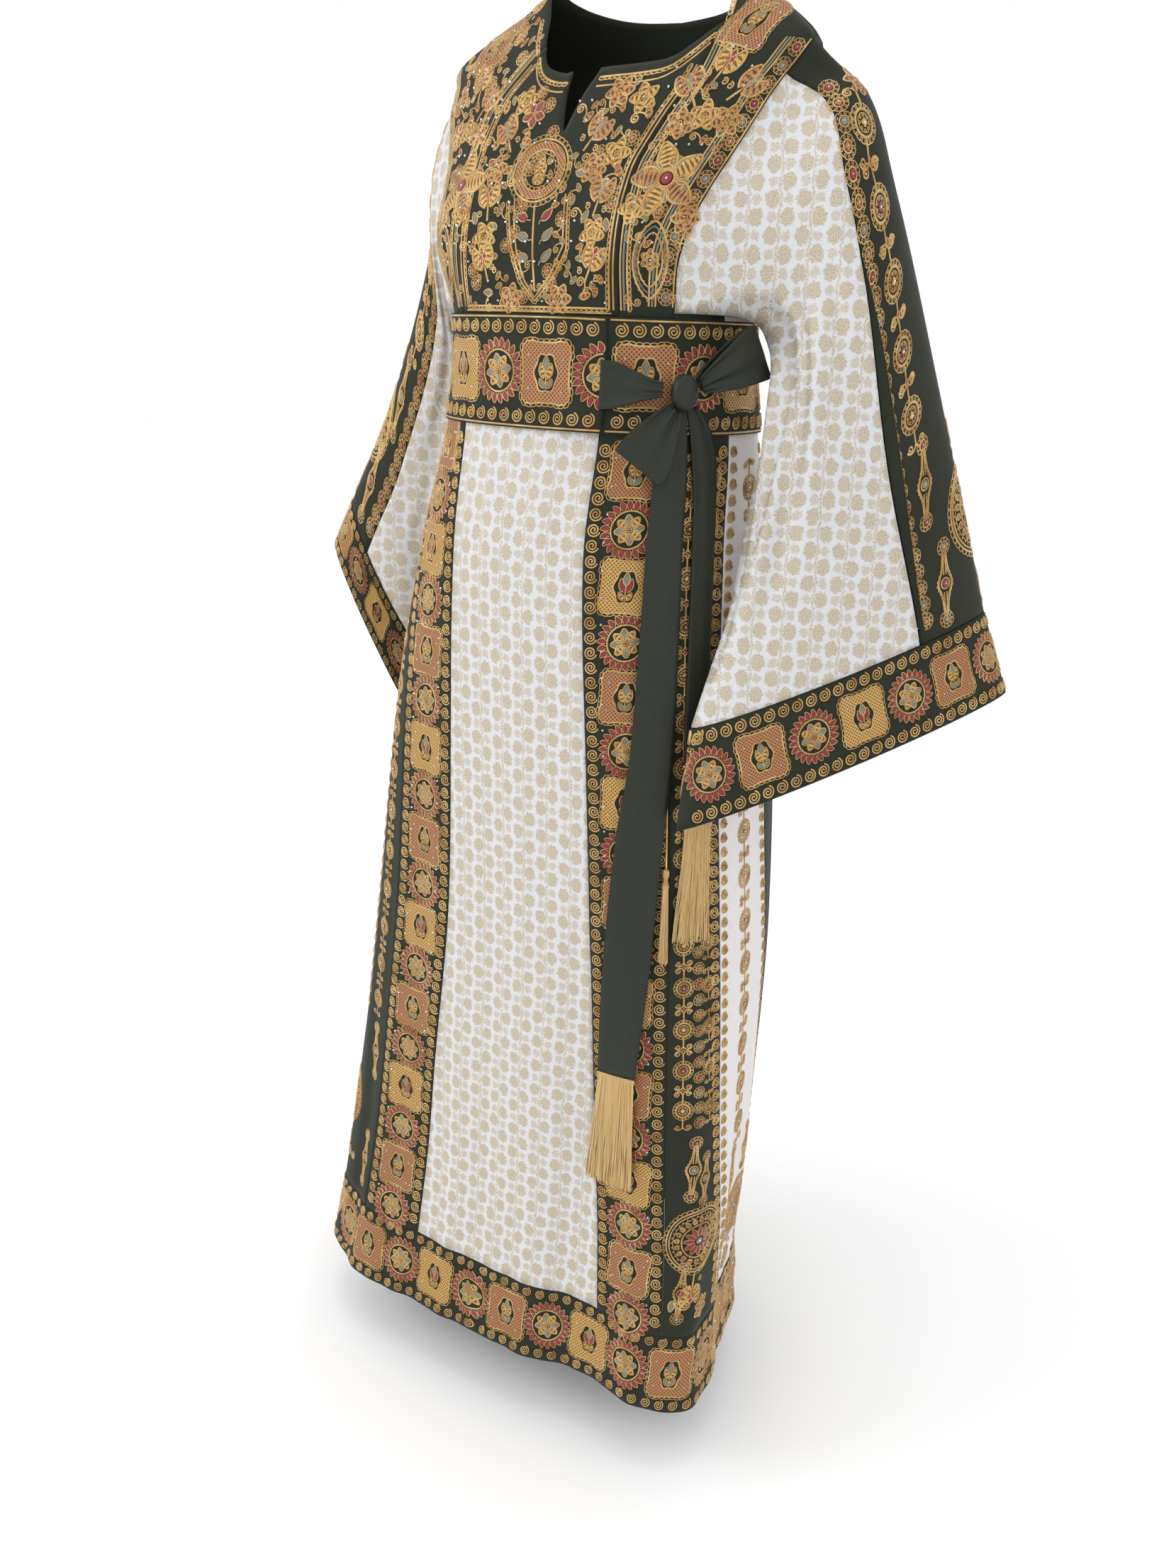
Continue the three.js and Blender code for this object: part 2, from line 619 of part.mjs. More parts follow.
// A loop of the bow: it leaves the knot in front, turns at its tip and comes back behind.
function loop(name, turn, rows) {
  const c = Math.cos(rad(turn));
  const s = Math.sin(rad(turn));
  const cols = 6;
  ribbon(
    name,
    rows.map(([reach, low, high, out, crease]) =>
      steps(0, 1, cols).map((u) => {
        const w = lerp(low, high, u);
        const wave = crease * Math.cos(u * Math.PI * 4);
        return inBow(reach * c - w * s, reach * s + w * c, out + wave);
      }),
    ),
    SATIN_FOLD,
    SASH,
  );
}
// reach, low edge, high edge, out, crease
loop("bow_loop_upper", 24, [
  [17, -7, 7, 23, 1.6],
  [30, -11, 14, 26, 1.8],
  [48, -16, 21, 27, 1.4],
  [66, -19, 27, 25, 0.9],
  [80, -21, 28, 21, 0.5],
  [85, -21, 28, 16, 0.3],
  [80, -21, 28, 11.5, 0.3],
  [66, -18, 26, 9.5, 0.4],
  [48, -15, 20, 9, 0.5],
  [30, -10, 13, 10, 0.5],
  [17, -6, 6, 13, 0.4],
]);
loop("bow_loop_lower", 234, [
  [17, -7, 7, 26, 1.6],
  [32, -16, 13, 33, 1.8],
  [50, -23, 20, 38, 1.5],
  [68, -26, 26, 39, 1.0],
  [78, -25, 27, 36, 0.5],
  [80, -25, 27, 32.5, 0.3],
  [77, -25, 27, 29, 0.3],
  [66, -24, 25, 27, 0.4],
  [50, -20, 19, 24.5, 0.5],
  [32, -13, 12, 21, 0.5],
  [17, -6, 6, 17, 0.4],
]);

// The strap from the belt's loose end to the knot, gathered towards the knot.
const STRAP = [
  // arc, low, high, off, crease
  [77, -384, -340, 8.4, 0.2],
  [88, -383, -341, 9.4, 0.5],
  [100, -380, -346, 12, 0.9],
  [112, -376, -352, 15.5, 1.2],
  [122, -373.5, -357, 19, 1.2],
  [129, -372, -359.5, 21.5, 0.8],
];
ribbon(
  "sash_strap",
  STRAP.map(([arc, low, high, off, crease]) =>
    steps(0, 1, 6).map((u) => onBody(arc, lerp(low, high, u), off + crease * Math.cos(u * Math.PI * 4)).p),
  ),
  SATIN_FOLD,
  SASH,
);

// The knot: a wrapped band, pinched where the loops leave it.
const KNOT_RINGS = 8;
const KNOT_SIDES = 14;
function knot() {
  const points = [inBow(0, -16.5, KNOT.off)];
  for (let i = 1; i < KNOT_RINGS; i++) {
    const lat = -Math.PI / 2 + (i / KNOT_RINGS) * Math.PI;
    for (let j = 0; j < KNOT_SIDES; j++) {
      const round = (j / KNOT_SIDES) * 2 * Math.PI;
      const pleat = 1 + 0.05 * Math.cos(round * 5 + lat * 2);
      const r = Math.cos(lat) ** 0.8 * pleat;
      points.push(inBow(13 * r * Math.cos(round), 16.5 * Math.sin(lat), KNOT.off + 9.5 * r * Math.sin(round)));
    }
  }
  points.push(inBow(0, 16.5, KNOT.off));
  const faces = [];
  const at = (i, j) => 1 + (i - 1) * KNOT_SIDES + (j % KNOT_SIDES);
  for (let j = 0; j < KNOT_SIDES; j++) {
    faces.push(0, at(1, j), at(1, j + 1));
    faces.push(points.length - 1, at(KNOT_RINGS - 1, j + 1), at(KNOT_RINGS - 1, j));
    for (let i = 1; i < KNOT_RINGS - 1; i++) {
      faces.push(at(i, j), at(i + 1, j), at(i + 1, j + 1), at(i, j), at(i + 1, j + 1), at(i, j + 1));
    }
  }
  add("bow_knot", points, faces, SASH);
}
knot();

const TAILS = {
  // z, arc of the left edge, arc of the right edge, off
  front: [
    [-377, 138, 153, 7.4],
    [-400, 134, 156, 7.6],
    [-446, 134, 163, 8],
    [-588, 144, 179, 8],
    [-703, 148, 187, 8.4],
    [-790, 141, 185, 8.4],
    [-926, 136, 182, 8.4],
    [-1042, 137, 177, 9],
  ],
  back: [
    [-379, 155, 165, 4.2],
    [-408, 162, 186, 4.2],
    [-480, 178, 202, 3.4],
    [-588, 190, 214, 3],
    [-700, 199, 227, 3],
    [-770, 205, 235, 3],
  ],
};

function tail(name, table, rows) {
  ribbon(
    name,
    rows.map((z) => {
      const [from, to, off] = lookup(table, z);
      return steps(from, to, 3).map((arc) => onBody(arc, z, off + TAIL_CLOTH).p);
    }),
    TAIL_CLOTH,
    SASH,
  );
}
const FRONT_TAIL_ROWS = [-377, -400, -446, -510, -588, -645, -703, -790, -860, -926, -984, -1042];
tail("sash_tail_front", TAILS.front, FRONT_TAIL_ROWS);
tail("sash_tail_back", TAILS.back, [-379, -408, -445, -480, -534, -588, -645, -700, -770]);

// ---- Fringes ----

let seed = 7;
function random() {
  seed = (seed * 16807) % 2147483647;
  return seed / 2147483647;
}

// A closed three-sided strand through points, as a manifold solid.
function strand(path, radius) {
  const points = [];
  path.forEach((p, i) => {
    const next = path[Math.min(i + 1, path.length - 1)];
    const before = path[Math.max(i - 1, 0)];
    const way = next.clone().sub(before).normalize();
    const a = way.clone().cross(vec(0.3, 1, 0.1)).normalize();
    const b = way.clone().cross(a);
    for (let k = 0; k < 3; k++) {
      const t = (k / 3) * 2 * Math.PI;
      const r = radius * (i === path.length - 1 ? 0.6 : 1);
      points.push(p.clone().addScaledVector(a, r * Math.cos(t)).addScaledVector(b, r * Math.sin(t)));
    }
  });
  const faces = [0, 2, 1];
  for (let i = 0; i < path.length - 1; i++) {
    for (let k = 0; k < 3; k++) {
      const [a, b] = [i * 3 + k, i * 3 + ((k + 1) % 3)];
      faces.push(a, b, b + 3, a, b + 3, a + 3);
    }
  }
  const end = (path.length - 1) * 3;
  faces.push(end, end + 1, end + 2);
  return solid(points, faces);
}

function solid(points, faces) {
  return new wasm.Manifold(
    new wasm.Mesh({
      numProp: 3,
      vertProperties: new Float32Array(points.flatMap((p) => [p.x, p.y, p.z])),
      triVerts: new Uint32Array(faces),
    }),
  );
}

function addSolid(name, body, material) {
  const mesh = body.getMesh();
  const points = [];
  for (let i = 0; i < mesh.vertProperties.length; i += mesh.numProp) {
    points.push(vec(mesh.vertProperties[i], mesh.vertProperties[i + 1], mesh.vertProperties[i + 2]));
  }
  add(name, points, Array.from(mesh.triVerts), material);
}

// A fringe below a tail: a narrow strip with the strands' roots in it.
function fringe(name, table, footZ, length, count, flare) {
  const [from, to, off] = lookup(table, footZ);
  const top = footZ - GAP;
  const strip = 5;
  const rows = [top, top - strip].map((z) => steps(from, to, 4).map((arc) => onBody(arc, z, off + TAIL_CLOTH)));
  const strands = Array.from({ length: count }, (_, i) => {
    const u = (i + 0.5) / count;
    const depth = off + TAIL_CLOTH * (i % 2 ? 0.3 : 0.7);
    const spread = (u - 0.5) * flare;
    const drift = (random() - 0.5) * 4;
    const end = length * (0.93 + 0.07 * random());
    const path = [0, 0.5, 1].map((t) => {
      const arc = lerp(from + 1.2, to - 1.2, u) + spread * t + drift * t * t;
      return onBody(arc, top - 2 - t * (end - 2), depth + (i % 2 ? -0.4 : 0.6) * t).p;
    });
    return strand(path, 0.85);
  });
  addSolid(name, wasm.Manifold.union([solid(...shellOf(rows, TAIL_CLOTH)), ...strands]), GOLD);
}
fringe("fringe_front", TAILS.front, -1042, 135, 34, 16);
fringe("fringe_back", TAILS.back, -770, 124, 24, 6);

// A thin cord from behind the knot, and the small tassel on it: a head, a neck binding and strands.
const CORD_RADIUS = 0.95;
const CORD = [
  // z, arc, off
  [-392, 149, 5.4],
  [-446, 153, 5.2],
  [-520, 165, 4.6],
  [-588, 173, 4.6],
  [-690, 182, 5],
  [-774, 188, 6.5],
  [-811.4, 190, 8.5],
];
const TASSEL = { top: -812, neck: -826, end: -912, arc: 190, off: 8.5, count: 16 };
function tasselCord() {
  const places = CORD.map(([z, arc, off]) => onBody(arc, z, off).p);
  const round = new THREE.Shape().absarc(0, 0, CORD_RADIUS, 0, 2 * Math.PI);
  const geometry = new THREE.ExtrudeGeometry(round, {
    curveSegments: 8,
    steps: 40,
    extrudePath: new THREE.CatmullRomCurve3(places),
  });
  const mesh = new THREE.Mesh(geometry, GOLD);
  mesh.name = "tassel_cord";
  part.add(mesh);
}
tasselCord();

function tassel() {
  const middle = (z) => onBody(TASSEL.arc + (TASSEL.top - z) * 0.04, z, TASSEL.off).p;
  const head = new THREE.LatheGeometry(
    [[0, 0], [2.2, -1], [3.4, -4], [3.2, -8], [2.3, -11], [3.4, -14], [4.2, -20], [0, -20]].map(
      ([r, z]) => new THREE.Vector2(r, z),
    ),
    8,
  );
  head.rotateX(Math.PI / 2);
  const at = middle(TASSEL.top);
  const points = [];
  const position = head.getAttribute("position");
  for (let i = 0; i < position.count; i++) {
    points.push(vec(position.getX(i), position.getY(i), position.getZ(i)).add(at));
  }
  const merged = mergeByPlace(points, Array.from(head.index.array));
  const strands = Array.from({ length: TASSEL.count }, (_, i) => {
    const round = (i / TASSEL.count) * 2 * Math.PI + random() * 0.3;
    const flare = 2.6 + (i % 2) * 0.8;
    const end = lerp(TASSEL.end, TASSEL.neck, 0.1 * random());
    const path = [0, 0.45, 1].map((t) => {
      const z = lerp(TASSEL.neck - 2, end, t);
      const r = i % 2 ? lerp(1.4, flare + 1.6, t) : lerp(2.6, flare + 3.4, t);
      return middle(z).add(vec(r * Math.cos(round), r * Math.sin(round) * 0.75, 0));
    });
    return strand(path, 0.8);
  });
  addSolid("tassel", wasm.Manifold.union([merged, ...strands]), GOLD);
}

// A lathe's seam and poles repeat their points; this welds them and drops the empty faces.
function mergeByPlace(points, faces) {
  const places = new Map();
  const kept = [];
  const index = points.map((p) => {
    const key = [p.x, p.y, p.z].map((v) => Math.round(v * 1e4)).join();
    if (!places.has(key)) {
      places.set(key, kept.length);
      kept.push(p);
    }
    return places.get(key);
  });
  const out = [];
  for (let i = 0; i < faces.length; i += 3) {
    const [a, b, c] = [index[faces[i]], index[faces[i + 1]], index[faces[i + 2]]];
    if (a !== b && b !== c && a !== c) {
      out.push(a, b, c);
    }
  }
  const body = solid(kept, out);
  return body.volume() > 0 ? body : solid(kept, out.reverse());
}
tassel();

export default part;
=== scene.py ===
"""An embroidered thobe as it is worn: brocade, crepe and satin with couched gold cord, a belt and a sash."""
import math
import random

import bmesh
import bpy
import numpy as np
from mathutils import Matrix, Vector


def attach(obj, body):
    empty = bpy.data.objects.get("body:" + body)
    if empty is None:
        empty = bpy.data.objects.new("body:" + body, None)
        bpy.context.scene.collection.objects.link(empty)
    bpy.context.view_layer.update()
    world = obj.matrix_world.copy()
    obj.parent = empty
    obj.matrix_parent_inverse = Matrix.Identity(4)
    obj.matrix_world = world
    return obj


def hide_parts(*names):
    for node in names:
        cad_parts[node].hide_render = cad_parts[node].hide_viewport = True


# ---- The garment's frame and the camera ----
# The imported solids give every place. The garment hangs from the wearer's shoulders, with its origin at the
# neck; the camera stands to its front left, a little above its middle.

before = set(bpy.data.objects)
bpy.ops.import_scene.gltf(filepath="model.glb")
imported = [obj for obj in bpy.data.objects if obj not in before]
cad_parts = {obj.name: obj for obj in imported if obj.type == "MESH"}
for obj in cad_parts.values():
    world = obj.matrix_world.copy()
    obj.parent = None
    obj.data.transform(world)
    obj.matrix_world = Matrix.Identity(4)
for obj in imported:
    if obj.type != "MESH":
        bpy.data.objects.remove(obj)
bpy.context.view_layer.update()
random.seed(5)

CAMERA_AT = Vector((0.770, -1.155, -0.315))
CAMERA_YAW = math.radians(34.05)
CAMERA_PITCH = math.radians(19.12)
CAMERA_ROLL = math.radians(1.96)
CAMERA_LENS = 30.08

ahead = Vector((-math.sin(CAMERA_YAW) * math.cos(CAMERA_PITCH),
                math.cos(CAMERA_YAW) * math.cos(CAMERA_PITCH),
                -math.sin(CAMERA_PITCH)))
level_right = Vector((math.cos(CAMERA_YAW), math.sin(CAMERA_YAW), 0))
level_up = level_right.cross(ahead)
right = level_right * math.cos(CAMERA_ROLL) + level_up * math.sin(CAMERA_ROLL)
up = level_up * math.cos(CAMERA_ROLL) - level_right * math.sin(CAMERA_ROLL)
camera_data = bpy.data.cameras.new("camera")
camera_data.lens = CAMERA_LENS
camera_data.sensor_width = 36
camera_data.sensor_fit = "AUTO"
camera = bpy.data.objects.new("camera", camera_data)
turn = Matrix((right, up, -ahead)).transposed().to_4x4()
camera.matrix_world = Matrix.Translation(CAMERA_AT) @ turn
bpy.context.scene.collection.objects.link(camera)
bpy.context.scene.camera = camera


# ---- The worn form ----
# The cloth hangs over the body in rings of known size, with a bust and with soft folds that open towards the
# hem. Every panel is cut from this one surface by its seams, so that neighbours meet along them.

HEM = -1420.0
WAIST_FRONT = -306.0
WAIST_SIDE = -299.0
HEM_TOP = -1338.0
SEAM_GAP = 0.3
RINGS = [
    # z, half width, depth in front, depth behind, squareness, front wider by, shift in x, in mm
    (0, 78, 20, 58, 2.0, 0, 22),
    (-35, 140, 34, 76, 2.0, 0, 18),
    (-69, 193, 54, 90, 2.1, 0, 6),
    (-95, 194, 69, 95, 2.2, 0, 3),
    (-120, 192, 83, 100, 2.3, 0, 0),
    (-180, 178, 106, 104, 2.4, 0, -1),
    (-240, 165, 120, 100, 2.4, 0, -3),
    (-305, 152, 130, 95, 2.3, 0, -4),
    (-405, 162, 135, 100, 2.4, 0, -4),
    (-520, 184, 150, 125, 2.5, 0, -9),
    (-700, 207, 157, 150, 2.7, 0.05, -16),
    (-950, 228, 158, 150, 2.9, 0.15, -16),
    (-1200, 240, 164, 150, 3.0, 0.3, -18),
    (-1338, 238, 183, 148, 3.2, 0.38, -18),
    (-1420, 244, 202, 148, 3.3, 0.4, -14),
]
FOLDS = [
    # angle from the front, half width, depth at the hem, height where it starts
    (14, 13, -24, -900),
    (-20, 11, 9, -900),
    (3, 6, 5, -420),
    (-62, 9, -9, -600),
    (66, 8, -6, -600),
    (96, 16, -15, -950),
    (132, 12, 8, -560),
    (160, 12, 12, -560),
    (-172, 11, -12, -560),
    (-144, 12, 12, -560),
    (-112, 12, -12, -560),
]
BUST = [(38, -236, 24, 62, 20), (-38, -236, 24, 62, 20)]
ROUND = np.linspace(-np.pi, np.pi, 721)


def read(table, keys):
    """The columns of a table at the keys, as smooth curves through its rows."""
    rows = np.array(sorted(table), float)
    x, y = rows[:, 0], rows[:, 1:]
    slope = np.empty_like(y)
    slope[1:-1] = (y[2:] - y[:-2]) / (x[2:] - x[:-2])[:, None]
    slope[0] = (y[1] - y[0]) / (x[1] - x[0])
    slope[-1] = (y[-1] - y[-2]) / (x[-1] - x[-2])
    keys = np.clip(np.asarray(keys, float), x[0], x[-1])
    i = np.clip(np.searchsorted(x, keys) - 1, 0, len(x) - 2)
    h = (x[i + 1] - x[i])[..., None]
    t = (keys - x[i])[..., None] / h
    out = (2 * t**3 - 3 * t**2 + 1) * y[i] + (t**3 - 2 * t**2 + t) * slope[i] * h
    out += (3 * t**2 - 2 * t**3) * y[i + 1] + (t**3 - t**2) * slope[i + 1] * h
    return out[..., 0] if out.shape[-1] == 1 else out


def ring(angle, z):
    """Points of one ring of the worn form, at angles from the front."""
    half, front, back, square, taper, shift = read(RINGS, z)
    s, c = np.sin(angle), np.cos(angle)
    fold = np.zeros_like(angle)
    for at, spread, depth, start in FOLDS:
        off = (angle - np.radians(at) + np.pi) % (2 * np.pi) - np.pi
        grown = np.clip((start - z) / (start - HEM), 0, 1)
        fold += depth * grown * np.exp(-((off / np.radians(spread)) ** 2))
    for at, height, spread, tall, depth in BUST:
        off = (angle - np.radians(at)) / np.radians(spread)
        fold += depth * np.exp(-(off**2) - ((z - height) / tall) ** 2)
    x = shift + half * (1 + taper * c) * np.sign(s) * np.abs(s) ** (2 / square)
    y = -np.where(c > 0, front, back) * np.sign(c) * np.abs(c) ** (2 / square)
    return np.stack([x + fold * s, y - fold * c, np.full_like(angle, z)], -1)


def run_of(points):
    """Length along a line of points, at each of them."""
    return np.concatenate([[0], np.cumsum(np.linalg.norm(np.diff(points, axis=0), axis=1))])


def arcs(z):
    """Arc length along a ring, from the centre front, at the angles in ROUND."""
    arc = run_of(ring(ROUND, z))
    return arc - arc[len(ROUND) // 2]


HEIGHTS = np.arange(-1424.0, 1.0, 4.0)
AROUND = [arcs(z) for z in HEIGHTS]
GIRTH = np.array([np.ptp(line) for line in AROUND])
SIDE_ARC = {side: np.array([abs(np.interp(side * np.pi / 2, ROUND, line)) for line in AROUND])
            for side in (1, -1)}


def girth(z):
    return np.interp(z, HEIGHTS, GIRTH)


def side_arc(side, z):
    """Arc length to the wearer's left (+1) or right (-1) side."""
    return np.interp(z, HEIGHTS, SIDE_ARC[side])


class Cloth:
    """The outer surface of worn cloth, in mm, by two cloth coordinates: a to the right and b up."""

    def __init__(self, a, b, points):
        self.a, self.b, self.points = a, b, points
        across, rise = np.gradient(points, axis=1), np.gradient(points, axis=0)
        normals = np.cross(across, rise)
        self.normals = normals / np.linalg.norm(normals, axis=-1, keepdims=True)

    def pick(self, field, a, b):
        i = np.clip((b - self.b[0]) / (self.b[1] - self.b[0]), 0, len(self.b) - 1.001)
        j = np.clip((a - self.a[0]) / (self.a[1] - self.a[0]), 0, len(self.a) - 1.001)
        i0, j0 = i.astype(int), j.astype(int)
        s, t = (i - i0)[..., None], (j - j0)[..., None]
        low = (1 - t) * field[i0, j0] + t * field[i0, j0 + 1]
        return (1 - s) * low + s * ((1 - t) * field[i0 + 1, j0] + t * field[i0 + 1, j0 + 1])

    def at(self, a, b, lift=0.0):
        a, b = np.broadcast_arrays(np.asarray(a, float), np.asarray(b, float))
        normal = self.pick(self.normals, a, b)
        normal /= np.linalg.norm(normal, axis=-1, keepdims=True)
        return self.pick(self.points, a, b) + normal * np.asarray(lift, float)[..., None]


def worn(creased):
    """The worn form's surface; a is the arc from the centre front and b the height."""
    heights = HEIGHTS
    columns = np.arange(-900.0, 1704.0, 4.0)
    points = np.empty((len(heights), len(columns), 3))
    for k, z in enumerate(heights):
        arc = AROUND[k]
        around = (columns - arc[0]) % np.ptp(arc) + arc[0]
        points[k] = ring(np.interp(around, arc, ROUND), z)
    cloth = Cloth(columns, heights, points)
    if creased:
        # shallow hanging folds of the skirt, and a slight drag of the cloth below the belt
        a, b = np.meshgrid(columns, heights)
        turn = 2 * np.pi * a / GIRTH[:, None]
        drop = np.clip((-430 - b) / 900, 0, 1)
        wave = 1.5 * np.sin(13 * turn + 1.0 + b / 420) + 1.1 * np.sin(23 * turn + 2.2 - b / 310)
        wave += 0.6 * np.sin(41 * turn + b / 150)
        pull = 0.7 * np.sin(19 * turn + b / 60) * np.exp(-(((b + 470) / 60) ** 2))
        cloth = Cloth(columns, heights, points + cloth.normals * (wave * drop + pull)[..., None])
    return cloth


form = worn(creased=False)
body = worn(creased=True)


# ---- Tassel cord ----
# A thin twisted gold cord hangs from behind the bow's knot, over the skirt, and carries a small tassel: a
# turned head bound at its neck, with loose strands below.

CORD = [
    # z, arc, off the cloth
    (-392, 149, 5.4),
    (-446, 153, 5.2),
    (-520, 165, 4.6),
    (-588, 173, 4.6),
    (-690, 182, 5),
    (-774, 188, 6.5),
    (-811.4, 190, 8.5),
]
CORD_DIAMETER = 0.0019
TASSEL_ARC = 190
TASSEL_TOP = -812
TASSEL_NECK = -826
TASSEL_END = -912
TASSEL_OFF = 8.5


def to_linear(colour):
    """A hex colour as a linear RGBA tuple."""
    parts = [int(colour[k:k + 2], 16) / 255 for k in (1, 3, 5)]
    return tuple(c / 12.92 if c <= 0.04045 else ((c + 0.055) / 1.055) ** 2.4 for c in parts) + (1.0,)


def add(tree, kind, inputs=None, **settings):
    """A node with its settings, its inputs set or linked; a node among them stands for its first output."""
    node = tree.nodes.new("ShaderNode" + kind)
    for name, value in settings.items():
        setattr(node, name, value)
    for name, value in (inputs or {}).items():
        value = value.outputs[0] if isinstance(value, bpy.types.Node) else value
        if isinstance(value, bpy.types.NodeSocket):
            tree.links.new(value, node.inputs[name])
        else:
            node.inputs[name].default_value = value
    return node


def finish(name, **sockets):
    """A new material with its shader's plain values set."""
    material = bpy.data.materials.new(name)
    material.use_nodes = True
    shader = material.node_tree.nodes["Principled BSDF"]
    for key, value in sockets.items():
        shader.inputs[key.replace("_", " ")].default_value = value
    return material, material.node_tree, shader


def surface(tree, shader, colour, height, strength, distance):
    """Links a colour and a relief (distance in m) to the shader."""
    tree.links.new(colour.outputs[0], shader.inputs["Base Color"])
    bump = add(tree, "Bump", {"Height": height, "Strength": strength, "Distance": distance})
    tree.links.new(bump.outputs[0], shader.inputs["Normal"])


def twisted_gold():
    # Metallised polyester wound round a cotton core: yellow gold, a little rough, ridged by its twist. Its
    # colour is darkened between the twist's turns and towards each cord's edges: painted shade in the
    # grooves.
    material, tree, shader = finish("twisted_metallic_cord", Metallic=0.55, Roughness=0.42)
    shader.inputs["Sheen Weight"].default_value = 0.25
    uv = add(tree, "TexCoord")
    twist = add(tree, "TexWave", {"Vector": uv.outputs["UV"], "Scale": 0.33, "Distortion": 0.6,
                                  "Detail": 1.0}, wave_type="BANDS", bands_direction="DIAGONAL")
    patch = add(tree, "TexNoise", {"Vector": uv.outputs["Object"], "Scale": 60.0})
    tone = add(tree, "ValToRGB", {"Fac": patch.outputs["Fac"]})
    tone.color_ramp.elements[0].position = 0.3
    tone.color_ramp.elements[0].color = to_linear("#c0914c")
    tone.color_ramp.elements[1].position = 0.72
    tone.color_ramp.elements[1].color = to_linear("#f2cd88")
    # painted shade: the colour is darkened between the twist's turns
    shade = add(tree, "MixRGB", {"Fac": 0.3, "Color1": tone, "Color2": twist.outputs["Color"]},
                blend_type="MULTIPLY")
    # painted shade: the colour is darkened towards the cord's edges, by the UV coordinate across it
    across = add(tree, "SeparateXYZ", {"Vector": uv.outputs["UV"]})
    side = add(tree, "Math", {0: across.outputs["Y"], 1: across.outputs["Y"]}, operation="MULTIPLY")
    rim = add(tree, "MapRange", {"Value": side, "From Min": 0.1, "To Min": 1.0, "To Max": 0.22})
    deep = add(tree, "MixRGB", {"Fac": 1.0, "Color1": shade, "Color2": rim},
               blend_type="MULTIPLY")
    surface(tree, shader, deep, twist.outputs["Fac"], 0.5, 0.0004)
    return material


GOLD_CORD = twisted_gold()


def loose_yarn():
    # Viscose fringe yarn: straw gold, silky, darker between the strands.
    material, tree, shader = finish("viscose_fringe_yarn", Metallic=0.15, Roughness=0.45)
    shader.inputs["Sheen Weight"].default_value = 0.4
    place = add(tree, "Mapping", {"Vector": add(tree, "TexCoord").outputs["Object"], "Scale": (900, 900, 30)})
    streak = add(tree, "TexNoise", {"Vector": place, "Scale": 1.0})
    tone = add(tree, "MixRGB", {"Fac": streak.outputs["Fac"], "Color1": to_linear("#a8823f"),
                                "Color2": to_linear("#e0c283")})
    tree.links.new(tone.outputs[0], shader.inputs["Base Color"])
    return material


YARN = loose_yarn()


def piece(name, mesh, nodes, slot, *materials):
    """An object of the garment, with its materials, that stands for solids of the frame and hides them. The
    slot argument is not used.
    """
    thing = bpy.data.objects.new(name, mesh)
    bpy.context.scene.collection.objects.link(thing)
    for material in materials:
        mesh.materials.append(material)
    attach(thing, "root")
    if nodes:
        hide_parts(*nodes)
    return thing


def strand_curve(name, paths, thick):
    """A curve of round strands through lists of points in mm."""
    curve = bpy.data.curves.new(name, "CURVE")
    curve.dimensions = "3D"
    curve.bevel_depth = thick / 2000
    curve.bevel_resolution = 1
    curve.use_fill_caps = True
    for path in paths:
        spline = curve.splines.new("POLY")
        spline.points.add(len(path) - 1)
        for point, spot in zip(spline.points, path):
            point.co = (spot[0] / 1000, spot[1] / 1000, spot[2] / 1000, 1)
    return curve


def strand_mesh(name, paths, thick):
    """A mesh of round strands through lists of points in mm."""
    holder = bpy.data.objects.new(name, strand_curve(name, paths, thick))
    mesh = bpy.data.meshes.new_from_object(holder)
    bpy.data.objects.remove(holder)
    mesh.name = name
    mesh.shade_smooth()
    return mesh


cord_z = np.linspace(CORD[0][0], CORD[-1][0], 34)
cord_arc, cord_off = read(CORD, cord_z).T
cord_path = form.at(cord_arc, cord_z, cord_off)
cord_curve = strand_curve("tassel_cord_twist", [cord_path], CORD_DIAMETER * 1000)
cord_curve.bevel_resolution = 3
tassel_cord = piece("tassel_cord_twist", cord_curve, ["tassel_cord"], "gold_thread", GOLD_CORD)
cord_length = float(run_of(cord_path)[-1]) / 1000

tassel_bm = bmesh.new()
profile = [(0, 0), (2.0, -0.6), (3.3, -3), (3.5, -6), (3.0, -9),
           (2.2, -11), (2.6, -12), (2.2, -13), (3.2, -15), (4.0, -20)]
edge = [tassel_bm.verts.new((r, 0, z)) for r, z in profile]
lines = [tassel_bm.edges.new(pair) for pair in zip(edge, edge[1:])]
bmesh.ops.spin(tassel_bm, geom=edge + lines, cent=(0, 0, 0), axis=(0, 0, 1), angle=2 * math.pi, steps=20,
               use_merge=True)
bmesh.ops.remove_doubles(tassel_bm, verts=tassel_bm.verts, dist=0.001)
bmesh.ops.recalc_face_normals(tassel_bm, faces=tassel_bm.faces)
tassel_at = form.at(TASSEL_ARC, TASSEL_TOP, TASSEL_OFF)
bmesh.ops.translate(tassel_bm, verts=tassel_bm.verts, vec=Vector(tassel_at))
bmesh.ops.scale(tassel_bm, verts=tassel_bm.verts, vec=(0.001, 0.001, 0.001))
tassel_mesh = bpy.data.meshes.new("tassel_head")
tassel_bm.to_mesh(tassel_mesh)
tassel_bm.free()
tassel_mesh.shade_smooth()
tassel_head = piece("tassel_head", tassel_mesh, ["tassel"], "gold_thread", GOLD_CORD)
TASSEL_STRANDS = 50
strands = []
